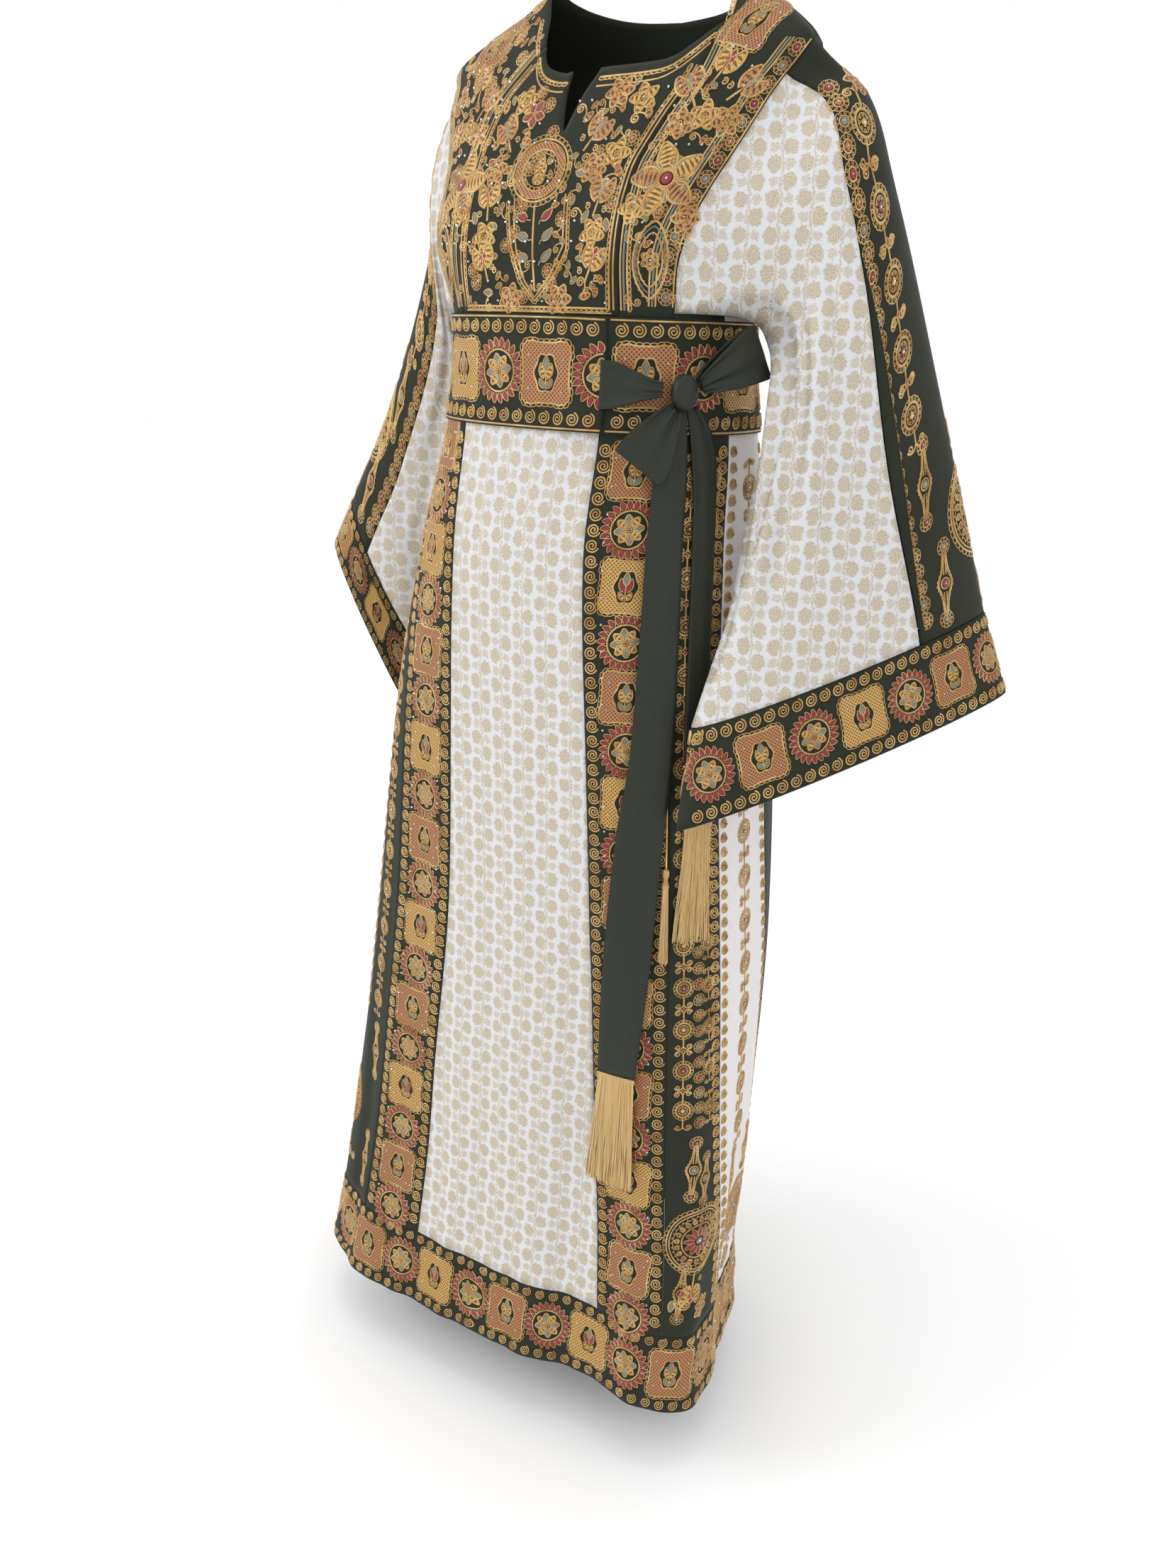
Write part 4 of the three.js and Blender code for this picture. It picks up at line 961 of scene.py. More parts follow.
KNOT_ARC = 146
KNOT_Z = -366
KNOT_OFF = 21
SASH_THICK = 1.6
TAIL_THICK = 2.0
SASH_SATIN = satin("green_satin_weave", "#181c12", "#23281b", 0.5)
knot_at = form.at(KNOT_ARC, KNOT_Z)
knot_out = unit(form.pick(form.normals, np.array(float(KNOT_ARC)), np.array(float(KNOT_Z))) * (1, 1, 0))
knot_along = np.array([-knot_out[1], knot_out[0], 0])


def in_bow(along, rise, out):
    return (knot_at + along[:, None] * knot_along + out[:, None] * knot_out
            + rise[:, None] * np.array([0.0, 0.0, 1.0]))


LOOPS = {
    # reach, low edge, high edge, out, crease
    "bow_loop_upper": (24, [
        (17, -7, 7, 23, 1.6), (30, -11, 14, 26, 1.8), (48, -16, 21, 27, 1.4), (66, -19, 27, 25, 0.9),
        (80, -21, 28, 21, 0.5), (85, -21, 28, 16, 0.3), (80, -21, 28, 11.5, 0.3), (66, -18, 26, 9.5, 0.4),
        (48, -15, 20, 9, 0.5), (30, -10, 13, 10, 0.5), (17, -6, 6, 13, 0.4)]),
    "bow_loop_lower": (234, [
        (17, -7, 7, 26, 1.6), (32, -16, 13, 33, 1.8), (50, -23, 20, 38, 1.5), (68, -26, 26, 39, 1.0),
        (78, -25, 27, 36, 0.5), (80, -25, 27, 32.5, 0.3), (77, -25, 27, 29, 0.3), (66, -24, 25, 27, 0.4),
        (50, -20, 19, 24.5, 0.5), (32, -13, 12, 21, 0.5), (17, -6, 6, 17, 0.4)]),
}
for name, (turn_by, rows) in LOOPS.items():
    c, s = math.cos(math.radians(turn_by)), math.sin(math.radians(turn_by))
    table = [(k,) + row for k, row in enumerate(rows)]

    def loop_points(u, v, table=table, c=c, s=s):
        reach, low, high, out, crease = read(table, (1 - v) * (len(table) - 1)).T
        w = low + u * (high - low)
        near = np.exp(-((reach - 17) / 22))
        wave = crease * np.cos(u * math.pi * 4) + 0.9 * near * np.sin(u * math.pi * 9 + 1)
        return in_bow(reach * c - w * s, reach * s + w * c, out + wave)
    panel(name, loop_points, (18, 60), SASH_THICK, SASH_SATIN, "green_satin")

STRAP = [
    # arc, low, high, off, crease
    (77, -384, -340, 8.4, 0.2),
    (88, -383, -341, 9.4, 0.5),
    (100, -380, -346, 12, 0.9),
    (112, -376, -352, 15.5, 1.2),
    (122, -373.5, -357, 19, 1.2),
    (129, -372, -359.5, 21.5, 0.8),
]


def strap(u, v):
    arc = STRAP[0][0] + (1 - v) * (STRAP[-1][0] - STRAP[0][0])
    low, high, off, crease = read(STRAP, arc).T
    return form.at(arc, low + u * (high - low), off + crease * np.cos(u * math.pi * 4))


panel("sash_strap", strap, (18, 24), SASH_THICK, SASH_SATIN, "green_satin")

knot_bm = bmesh.new()
bmesh.ops.create_uvsphere(knot_bm, u_segments=56, v_segments=32, radius=1)
for vert in knot_bm.verts:
    lat = math.asin(max(-1, min(1, vert.co.z)))
    way = math.atan2(vert.co.y, vert.co.x)
    pleats = 0.045 * math.cos(way * 5 + lat * 2) + 0.02 * math.cos(way * 13 + lat * 3)
    r = math.cos(lat) ** 0.8 * (1 + pleats)
    spot = in_bow(np.array([12.6 * r * math.cos(way)]), np.array([16.2 * math.sin(lat)]),
                  np.array([KNOT_OFF + 9.2 * r * math.sin(way)]))[0]
    vert.co = Vector(spot / 1000)
for face in knot_bm.faces:
    face.smooth = True
bmesh.ops.recalc_face_normals(knot_bm, faces=knot_bm.faces)
knot_area = sum(face.calc_area() for face in knot_bm.faces) / 2
knot_mesh = bpy.data.meshes.new("bow_knot_cloth")
knot_bm.to_mesh(knot_mesh)
knot_bm.free()
knot = piece("bow_knot_cloth", knot_mesh, ["bow_knot"], "green_satin", SASH_SATIN)

TAILS = {
    # z, arc of the left edge, arc of the right edge, off
    "front": [(-377, 138, 153, 7.4), (-400, 134, 156, 7.6), (-446, 134, 163, 8), (-588, 144, 179, 8),
              (-703, 148, 187, 8.4), (-790, 141, 185, 8.4), (-926, 136, 182, 8.4), (-1042, 137, 177, 9)],
    "back": [(-379, 155, 165, 4.2), (-408, 162, 186, 4.2), (-480, 178, 202, 3.4), (-588, 190, 214, 3),
             (-700, 199, 227, 3), (-770, 205, 235, 3)],
}
for name, table in TAILS.items():
    def tail_points(u, v, table=table):
        z = table[-1][0] + v * (table[0][0] - table[-1][0])
        left, right_edge, off = read(table, z).T
        fold = 0.7 * np.cos(u * math.pi * 3 + z / 90) * np.exp((z + 377) / 160)
        return form.at(left + u * (right_edge - left), z, off + TAIL_THICK + fold)
    panel("sash_tail_" + name, tail_points, (10, 90), TAIL_THICK, SASH_SATIN, "green_satin")


# ---- Fringes ----
# Gold viscose fringe sewn to the foot of each tail: a narrow heading with loose twisted strands below it.

for name, length, count, flare in (("front", 135, 110, 18), ("back", 124, 80, 8)):
    foot = TAILS[name][-1][0]
    left, right_edge, off = (float(value) for value in read(TAILS[name], foot))
    strands = []
    for k in range(count):
        u = (k + 0.5) / count
        depth = off + TAIL_THICK * random.uniform(0.2, 0.95)
        drift = random.uniform(-2.6, 2.6)
        long = length * random.uniform(0.92, 0.995)
        t = np.linspace(0, 1, 7)
        sway = 0.8 * np.sin(t * 5 + k * 1.3) * t
        arc = left + 1 + u * (right_edge - left - 2) + (u - 0.5) * flare * t + drift * t**2 + sway
        strands.append(form.at(arc, foot - 1.0 - t * (long - 1), depth + (0.9 if k % 2 else -0.8) * t))
    for drop in (0.9, 2.2, 3.5, 4.8):
        t = np.linspace(left, right_edge, 12)
        strands.append(form.at(t, foot - drop, off + TAIL_THICK - 0.4))
    mesh = strand_mesh("fringe_" + name + "_strands", strands, 1.25)
    piece(mesh.name, mesh, ["fringe_" + name], "gold_thread", YARN)


# ---- Stitches and motifs ----
# All embroidery is hand couching in the Bethlehem way: twisted gold cord laid down and caught by small
# stitches, with floss filling between. Each motif is made flat once, then laid on the cloth where it is sewn.

GOLD, CRIMSON, GREY, COPPER, NET, STONE = range(6)


def floss(name, dark, light):
    # Satin stitch in rayon floss: parallel glossy strands across the shape, with a soft sheen.
    material, tree, shader = finish(name, Roughness=0.42)
    shader.inputs["Sheen Weight"].default_value = 0.35
    uv = add(tree, "TexCoord")
    lay = add(tree, "TexWave", {"Vector": uv.outputs["UV"], "Scale": 0.45, "Distortion": 1.5, "Detail": 2.0})
    tone = add(tree, "MixRGB", {"Fac": lay.outputs["Fac"], "Color1": to_linear(dark),
                                "Color2": to_linear(light)})
    surface(tree, shader, tone, lay.outputs["Fac"], 0.5, 0.0004)
    return material


def laid_net(name, ground, thread, metal):
    # Laid work: open trellis of metal thread over floss, so the ground shows between the threads.
    material, tree, shader = finish(name, Roughness=0.45, Metallic=metal)
    uv = add(tree, "TexCoord")
    rise = add(tree, "TexWave", {"Vector": uv.outputs["UV"], "Scale": 0.16}, bands_direction="DIAGONAL")
    turned = add(tree, "Mapping", {"Vector": uv.outputs["UV"], "Rotation": (0, 0, math.pi / 2)})
    fall = add(tree, "TexWave", {"Vector": turned, "Scale": 0.16}, bands_direction="DIAGONAL")
    both = add(tree, "Math", {0: rise.outputs["Fac"], 1: fall.outputs["Fac"]}, operation="MAXIMUM")
    cover = add(tree, "MapRange", {"Value": both, "From Min": 0.45, "From Max": 0.85})
    tone = add(tree, "MixRGB", {"Fac": cover, "Color1": to_linear(ground),
                                "Color2": to_linear(thread)})
    surface(tree, shader, tone, both, 0.6, 0.0005)
    return material


def cut_glass():
    # Foil-backed glass chatons: bright and hard, with the foil's pale grey behind.
    material, _, shader = finish("foil_backed_glass", Metallic=0.6, Roughness=0.08)
    shader.inputs["Base Color"].default_value = to_linear("#dde1e6")
    return material


THREADS = [GOLD_CORD, floss("crimson_floss", "#6a0c1e", "#a2142e"), floss("sage_floss", "#5f6358", "#8d907f"),
           laid_net("copper_laid_work", "#5c3a22", "#b37a4c", 0.2),
           laid_net("gold_laid_work", "#6a4f26", "#cda25a", 0.3), cut_glass()]


def lay_grid(bm, cols, rows, spot, material):
    """Adds a grid of faces whose vertices lie at spot(column, row) -> x, y, lift, u, v."""
    uv = bm.loops.layers.uv["thread"]
    made = bmesh.ops.create_grid(bm, x_segments=cols, y_segments=rows, size=0.5)["verts"]
    marks = {}
    for vert in made:
        x, y, lift, *marks[vert] = spot(round((vert.co.x + 0.5) * cols), round((vert.co.y + 0.5) * rows))
        vert.co = (x, y, lift)
    for face in {face for vert in made for face in vert.link_faces}:
        face.material_index = material
        face.smooth = True
        for loop in face.loops:
            loop[uv].uv = marks[loop.vert]


def couch(bm, path, width, material=GOLD, closed=False, high=None):
    """A ridge of thread along a flat path; its width may change on the way."""
    path = np.asarray(path, float)
    if closed:
        path = np.vstack([path, path[:1]])
    way = np.gradient(path, axis=0)
    if closed:
        way[0] = way[-1] = path[1] - path[-2]
    side = unit(np.stack([-way[:, 1], way[:, 0]], -1))
    run = run_of(path)
    half = np.broadcast_to(np.asarray(width, float), (len(path),)) / 2
    top = high or 0.4 + float(half.max()) * 0.45

    def spot(i, j):
        x, y = path[i] + side[i] * half[i] * (j - 1)
        # the second UV coordinate runs from -1 to 1 across the cord; the gold material darkens the colour by
        # it towards the edges as painted shade
        return x, y, top if j == 1 else 0.05, run[i], j - 1
    lay_grid(bm, len(path) - 1, 2, spot, material)


def fill(bm, first, last, lift, material):
    """Laid work between two closed outlines; lift holds its height on each line from first to last."""
    first, last = np.vstack([first, first[:1]]), np.vstack([last, last[:1]])
    rings = len(lift) - 1

    def spot(i, j):
        x, y = first[i] + (last[i] - first[i]) * (j / rings)
        return x, y, lift[j], x, y
    lay_grid(bm, len(first) - 1, rings, spot, material)


def cover(bm, outline, material, high):
    """Laid work that covers a closed outline, raised but for its rim."""
    centre = np.broadcast_to(outline.mean(axis=0), outline.shape)
    fill(bm, centre, outline, (high, high, high, high * 0.5), material)


def circle(r, count, at=(0, 0)):
    t = np.linspace(0, 2 * np.pi, count, endpoint=False)
    return np.stack([at[0] + r * np.cos(t), at[1] + r * np.sin(t)], -1)


def hoop(bm, outline, width, high, material=GOLD):
    """A couched cord round a closed outline."""
    couch(bm, outline, width, material, True, high)


def spiral(start, end, turns, count, at=(0, 0), begin=0.0):
    t = np.linspace(0, 1, count)
    r, way = start + (end - start) * t, begin + turns * 2 * np.pi * t
    return np.stack([at[0] + r * np.cos(way), at[1] + r * np.sin(way)], -1)


def curl(at, angle, length, bend, count=9):
    """A bent line from a point, at an angle in degrees, that turns by bend degrees."""
    t = np.linspace(0, 1, count)
    way = np.radians(angle + bend * (t[:-1] + 0.5 / (count - 1)))
    steps = np.stack([np.cos(way), np.sin(way)], -1) * length / (count - 1)
    return np.array(at) + np.vstack([[0, 0], np.cumsum(steps, axis=0)])


def around(spine, half):
    """The outline of a leaf with the given spine."""
    way = unit(np.gradient(spine, axis=0))
    side = np.stack([-way[:, 1], way[:, 0]], -1) * half[:, None]
    return np.vstack([spine + side, spine[-1:] + way[-1:] * 0.4, (spine - side)[::-1]])


SQUARE_POINTS = 72
LEAF_WIDTHS = np.array([0.25, 0.62, 0.88, 1.0, 0.98, 0.86, 0.66, 0.4, 0.12])


def leaf(bm, at, angle, length, width, material, bend=20, edge=1.1):
    spine = curl(at, angle, length, bend)
    couch(bm, spine, width * LEAF_WIDTHS, material, high=0.9)
    couch(bm, around(spine, width * LEAF_WIDTHS / 2 + edge * 0.45), edge, high=1.15)


def petals(bm, r, count, length, width, colours, bend=0, edge=1.1, start=0.0, tilt=0.0, shown=None):
    """Leaves set round a centre at radius r, in turn in the given colours; angles in degrees."""
    for k in shown or range(count):
        way = 360 * k / count + start
        at = (r * math.cos(math.radians(way)), r * math.sin(math.radians(way)))
        leaf(bm, at, way + tilt, length, width, colours[k % len(colours)], bend, edge)


def frill(bm, outline, loops, r, width=1.0, closed=True):
    """Small picot loops along a line, on its right-hand side."""
    base = np.vstack([outline, outline[:1]]) if closed else np.asarray(outline, float)
    run = run_of(base)
    t = np.linspace(0, 1, loops * 7 + 1)
    base = np.stack([np.interp(t * run[-1], run, base[:, k]) for k in (0, 1)], -1)
    way = unit(np.gradient(base, axis=0))
    out = np.stack([way[:, 1], -way[:, 0]], -1)
    turn_at = (t * loops * 2 * np.pi)[:, None]
    couch(bm, base + out * r * (1 - np.cos(turn_at)) - way * r * 1.5 * np.sin(turn_at), width)


def stone(bm, at, r):
    uv = bm.loops.layers.uv["thread"]
    made = bmesh.ops.create_cone(bm, cap_ends=True, segments=8, radius1=r, radius2=r * 0.55,
                                 depth=1.2)["verts"]
    bmesh.ops.translate(bm, verts=made, vec=(at[0], at[1], 1.2))
    for face in {face for vert in made for face in vert.link_faces}:
        face.material_index = STONE
        for loop in face.loops:
            loop[uv].uv = (0, 0)


def stamp(make, *args):
    """A motif made flat, as a mesh in mm."""
    bm = bmesh.new()
    bm.loops.layers.uv.new("thread")
    make(bm, *args)
    mesh = bpy.data.meshes.new("motif_" + make.__name__)
    bm.to_mesh(mesh)
    bm.free()
    return mesh


def coil(bm):
    couch(bm, spiral(0.7, 6.4, 2.2, 44), 1.75, high=1.4)


def rosette(bm, half=False):
    """A wheel of crimson commas round a gold flower, or the left half of one."""
    rim = circle(17.4, 50)
    petals(bm, 18.6, 22, 8.6, 4.6, [CRIMSON], 44, 1.0, tilt=-16, shown=range(6, 17) if half else None)
    couch(bm, rim[13:38] if half else rim, 1.9, closed=not half, high=1.4)
    petals(bm, 3.0, 8, 10.6, 6.6, [GREY, NET], 0, 1.7, start=11.459, shown=range(2, 6) if half else None)
    if not half:
        couch(bm, spiral(0.5, 3.6, 1.8, 22), 1.7, high=1.6)


def cushion(half_x, half_y):
    """A square outline with drawn-in sides and full corners."""
    t = np.linspace(0, 2 * np.pi, SQUARE_POINTS, endpoint=False)
    c, s = np.cos(t), np.sin(t)
    grow = 0.88 + 0.14 * np.abs(np.sin(2 * t)) + 0.018 * np.cos(20 * t)
    return np.stack([half_x * np.sign(c) * np.abs(c)**0.5 * grow,
                     half_y * np.sign(s) * np.abs(s)**0.5 * grow], -1)


def square(bm, ground, tips):
    """A cushion of laid work round an open window with a tulip in it."""
    scallop = 1 + 0.07 * np.cos(np.linspace(0, 12 * np.pi, SQUARE_POINTS, endpoint=False))
    window = circle(1, SQUARE_POINTS) * (11.5, 15.5) * scallop[:, None]
    fill(bm, cushion(26, 27), window, [0.4] * 4, ground)
    hoop(bm, cushion(26, 27), 2.0, 1.3)
    frill(bm, cushion(26.6, 27.6), 34, 1.2)
    hoop(bm, window, 1.8, 1.3)
    couch(bm, [(0, -13), (0, -6), (0, 3)], 1.6)
    leaf(bm, (0, 2.0), 90, 11.0, 5.6, GREY, bend=0, edge=1.2)
    for side in (-1, 1):
        leaf(bm, (0.6 * side, -4), 90 - side * 42, 12.5, 5.0, tips, side * 44, 1.2)
        leaf(bm, (0.6 * side, -11.5), 90 - side * 58, 8.5, 4.0, GREY if tips == NET else NET, side * 40)
    for x, y in ((-17, 14), (17, -15), (18, 11), (-17, -13)):
        stone(bm, (x, y), 0.9)


def blossom(bm, material, count, length):
    petals(bm, 2.4, count, length, length * 0.68, [material], 12, 1.7, start=90)
    couch(bm, spiral(0.5, 2.7, 1.6, 14), 1.6, high=1.6)


def tulip(bm, material, heart):
    """A half-open flower on a short stem: two broad petals round a bud."""
    couch(bm, curl((0, -12), 90, 12, 0, 5), 1.8)
    leaf(bm, (0, 0), 90, 13, 7.0, heart, bend=0, edge=1.5)
    for side in (-1, 1):
        leaf(bm, (0.5 * side, -1), 90 - side * 40, 17, 8.0, material, bend=side * 36, edge=1.8)
        couch(bm, spiral(0.5, 2.6, 1.4, 14, (side * 7.5, -6)), 1.2)


def hook(bm, material):
    """A stem that ends in a coil, with a leaf at its foot."""
    stem = curl((0, 0), 20, 15, 80, 9)
    couch(bm, stem, 1.7)
    tip = stem[-1]
    couch(bm, spiral(4.2, 0.6, 1.7, 24, tip - (4.2, 0), 0.0), 1.6)
    leaf(bm, (1, 0.5), -8, 10, 4.6, material, bend=20, edge=1.4)


def lone_leaf(bm, material, length):
    leaf(bm, (0, 0), 0, length, length * 0.48, material, bend=28, edge=1.7)
    couch(bm, curl((0, 0), 180, length * 0.4, 60, 6), 1.6)


def floret(bm, material):
    cover(bm, circle(3.2, 14), material, 0.9)
    hoop(bm, circle(4.4, 18), 1.7, 1.3)
    frill(bm, circle(5.6, 18), 9, 1.5)
    stone(bm, (0, 0), 0.8)


def wheel_and_scrolls(bm, heart):
    """A picot wheel on a stem that parts into two curls above and two below it."""
    cover(bm, circle(2.8, 12), heart, 0.9)
    frill(bm, circle(3.6, 16), 8, 1.2)
    hoop(bm, circle(8.4, 30), 2.3, 1.4)
    frill(bm, circle(9.6, 30), 15, 1.4)
    stone(bm, (0, 0), 1.1)
    for up in (1, -1):
        couch(bm, [(0, 9.5 * up), (0, 14 * up), (0, 23 * up)], 2.0)
        for side in (1, -1):
            stem = curl((0.4 * side, 21 * up), 90 * up - side * up * 12, 13, -side * up * 150, 11)
            couch(bm, stem, 1.7)
            begin = 0.0 if side > 0 else math.pi
            couch(bm, spiral(3.4, 0.6, 1.4, 18, stem[-1] - (3.2 * side, 0), begin), 1.5)
    leaf(bm, (0, 21), 90, 5.5, 2.8, CRIMSON, bend=0, edge=0.9)


def picot_spray(bm, ends, heart):
    """A tall spray: a wheel in the middle and a floret at each end of a ribbed strip."""
    t = np.linspace(0, 2 * np.pi, 60, endpoint=False)
    half = 3.4 + 5.4 * np.exp(-((np.cos(t) * 30) / 10)**2)
    shape = np.stack([half * np.sign(np.sin(t)) * np.abs(np.sin(t))**0.5, -31 * np.cos(t)], -1)[::-1]
    hoop(bm, shape, 1.8, 1.2)
    frill(bm, shape * (1.18, 1.03), 30, 1.4)
    for x in (-1.5, 1.5):
        for side in (-1, 1):
            couch(bm, [(x, side * 8), (x, side * 18), (x, side * 26)], 1.5)
    for y, colour, r in ((0, heart, 3.6), (34, ends, 3.0), (-34, ends, 3.0)):
        cover(bm, circle(r, 14, (0, y)), colour, 1.0)
        hoop(bm, circle(r + 1.4, 18, (0, y)), 1.6, 1.4)
        if y:
            frill(bm, circle(r + 2.6, 18, (0, y)), 9, 1.3)
        stone(bm, (0, y), 0.9)


def star(bm, r):
    """A large five-petalled flower, copper and gold, with sprigs between the petals."""
    petals(bm, r * 0.2, 5, r * 0.82, r * 0.5, [NET, COPPER], 18, 2.4, start=90)
    petals(bm, r * 0.3, 5, r * 0.34, r * 0.18, [GREY], 0, 1.4, start=126)
    hoop(bm, circle(r * 0.22, 22), 2.2, 1.8)
    cover(bm, circle(r * 0.16, 14), CRIMSON, 1.5)
    stone(bm, (0, 0), 1.6)


def oval(bm, half_x, half_y):
    """An upright oval medallion: a padded copper ring round a window with a plant."""
    shape = circle(1, 44) * (half_x, half_y)
    fill(bm, shape * 0.9, shape * 0.68, [0.8] * 4, COPPER)
    hoop(bm, shape, 2.2, 1.5)
    hoop(bm, shape * 0.9, 1.3, 1.3)
    hoop(bm, shape * 0.66, 2.0, 1.5)
    frill(bm, shape * 1.05, 34, 1.5)
    frill(bm, shape[::-1] * 0.62, 20, 1.2)
    couch(bm, [(0, -13), (0, -6), (0, 2)], 1.7)
    leaf(bm, (0, 0), 90, 13, 6.0, NET, bend=0, edge=1.5)
    for side in (-1, 1):
        leaf(bm, (0, -5), 90 - side * 46, 11, 5.0, NET, bend=side * 40, edge=1.4)
        leaf(bm, (0, -11), 90 - side * 60, 8, 4.2, NET, bend=side * 30, edge=1.3)


def almond(bm, half_x, half_y):
    """A pointed oval with a flower in its window."""
    t = np.linspace(0, 2 * np.pi, 56, endpoint=False)
    shape = np.stack([half_x * np.sin(t) * np.abs(np.sin(t))**0.35, -half_y * np.cos(t)], -1)[::-1]
    hoop(bm, shape, 2.4, 1.5)
    hoop(bm, shape * 0.86, 1.5, 1.2, GREY)
    hoop(bm, shape * 0.7, 1.7, 1.3)
    frill(bm, shape[::-1] * 0.64, 18, 1.2)
    frill(bm, shape * 1.08, 26, 1.5)
    petals(bm, 1.6, 6, 8.0, 5.4, [NET, COPPER], 10, 1.6, start=30)
    stone(bm, (0, 0), 1.2)
    leaf(bm, (0, half_y + 1), 90, 13, 6.0, COPPER, bend=0, edge=1.6)


def medallion(bm, r):
    """A large round medallion: rings of cord and picots, a ring of beads and a crimson daisy."""
    hoop(bm, circle(r * 0.94, 72), 2.3, 1.5)
    frill(bm, circle(r * 0.97, 72), 40, 1.6)
    hoop(bm, circle(r * 0.86, 66), 2.0, 1.4)
    frill(bm, circle(r * 0.8, 66)[::-1], 34, 1.3)
    petals(bm, r * 0.55, 20, r * 0.17, r * 0.11, [NET, COPPER])
    hoop(bm, circle(r * 0.5, 44), 2.2, 1.5)
    petals(bm, r * 0.14, 12, r * 0.3, r * 0.12, [CRIMSON], 6)
    cover(bm, circle(r * 0.1, 14), GREY, 1.2)
    stone(bm, (0, 0), 1.8)


COIL = stamp(coil)
ROSETTE = stamp(rosette)
SQUARES = [stamp(square, COPPER, NET), stamp(square, NET, CRIMSON)]
BLOSSOM = {colour: stamp(blossom, colour, count, length)
           for colour, count, length in ((CRIMSON, 5, 9), (COPPER, 6, 10), (NET, 5, 10))}
TULIP = {GREY: stamp(tulip, COPPER, GREY), CRIMSON: stamp(tulip, NET, CRIMSON)}
HOOK = {GREY: stamp(hook, GREY), CRIMSON: stamp(hook, COPPER)}
LEAF = {GREY: stamp(lone_leaf, GREY, 16), CRIMSON: stamp(lone_leaf, CRIMSON, 16)}
FLORET = {GREY: stamp(floret, GREY), CRIMSON: stamp(floret, CRIMSON), NET: stamp(floret, COPPER)}
WHEELS = [stamp(wheel_and_scrolls, NET), stamp(wheel_and_scrolls, CRIMSON)]
SPRAY = stamp(picot_spray, CRIMSON, GREY)
LOW_SPRAY = stamp(picot_spray, GREY, CRIMSON)
STAR = stamp(star, 30)
OVAL = stamp(oval, 30, 27)
ALMOND = stamp(almond, 17, 35)
MEDALLION = stamp(medallion, 44)
LONE_STONE = stamp(stone, (0, 0), 1.2)


def sew(name, cloth, works, lift=None):
    """Lays motifs (mesh, a, b, turn in degrees, size) on a cloth as one piece of embroidery."""
    bm = bmesh.new()
    laid = []
    for mesh, x, y, turn_by, size in works:
        bm.from_mesh(mesh)
        flat = np.empty(len(mesh.vertices) * 3)
        mesh.vertices.foreach_get("co", flat)
        flat = flat.reshape(-1, 3)
        c, s = math.cos(math.radians(turn_by)) * size, math.sin(math.radians(turn_by)) * size
        laid.append(np.stack([x + c * flat[:, 0] - s * flat[:, 1],
                              y + s * flat[:, 0] + c * flat[:, 1], flat[:, 2]], -1))
    mesh = bpy.data.meshes.new(name)
    bm.to_mesh(mesh)
    bm.free()
    laid = np.concatenate(laid)
    rise = laid[:, 2] + (lift(laid[:, 0]) if lift else 0)
    mesh.vertices.foreach_set("co", (cloth.at(laid[:, 0], laid[:, 1], rise) / 1000).ravel())
    mesh.update()
    return piece(name, mesh, [], "gold_thread", *THREADS)


def along(points, pitch):
    """Places at equal distances along a line of cloth coordinates: a, b, direction in degrees."""
    points = np.asarray(points, float)
    run = run_of(points)
    count = max(round(run[-1] / pitch), 1)
    at = (np.arange(count) + 0.5) * run[-1] / count
    x, y = (np.interp(at, run, points[:, k]) for k in (0, 1))
    along_x, along_y = (np.interp(at + 1, run, points[:, k]) - np.interp(at - 1, run, points[:, k])
                        for k in (0, 1))
    return list(zip(x, y, np.degrees(np.arctan2(along_y, along_x))))


def row_of(meshes, points, pitch, size=1.0, turn_by=0.0):
    """Motifs in turn along a line."""
    return [(meshes[k % len(meshes)], x, y, way + turn_by, size)
            for k, (x, y, way) in enumerate(along(points, pitch))]


def chain(points, pitch=14.5, size=1.0):
    """Coils in a row, each joined to the next by the tail of its cord."""
    return row_of([COIL], points, pitch, size)


def evenly(points, pitch):
    points = np.asarray(points, float)
    run = run_of(points)
    at = np.linspace(0, run[-1], max(int(run[-1] / pitch), 2))
    return np.stack([np.interp(at, run, points[:, k]) for k in (0, 1)], -1), float(run[-1])


PICOT_PITCH = 5


def line(points, width=1.8, material=GOLD):
    """One couched cord straight along cloth coordinates."""
    def couched(bm):
        couch(bm, evenly(points, 6)[0], width, material)
    return stamp(couched), 0, 0, 0, 1


def braid(points):
    """A couched cord with picot loops on its right-hand side."""
    def looped(bm):
        path, length = evenly(points, PICOT_PITCH)
        couch(bm, path, 2.2)
        frill(bm, path, int(length / PICOT_PITCH), 1.5, 1.2, closed=False)
    return stamp(looped), 0, 0, 0, 1


def scatter(places):
    """Single glass stones."""
    return [(LONE_STONE, a, b, 0, 1.0) for a, b in places]


# ---- Embroidered skirt bands ----
# Nine rosettes on each band alternate with framed squares; a chain of coils runs down inside each seam.

BAND_MOTIFS = 18
SEAM_COILS = 8
FLORETS = [FLORET[CRIMSON], FLORET[GREY], FLORET[NET]]


def column(side, a, z):
    """A line of cloth coordinates at arcs a on one side of the garment."""
    return np.stack([side * a, z], -1)


def motifs(stamps, size, places):
    """One kind of motif, in colours, at a, b, turn in degrees, colour."""
    return [(stamps[colour], a, b, turn_by, size) for a, b, turn_by, colour in places]


def in_turn(k):
    """Rosettes and the two framed squares in turn."""
    return SQUARES[(k // 2) % 2] if k % 2 else ROSETTE


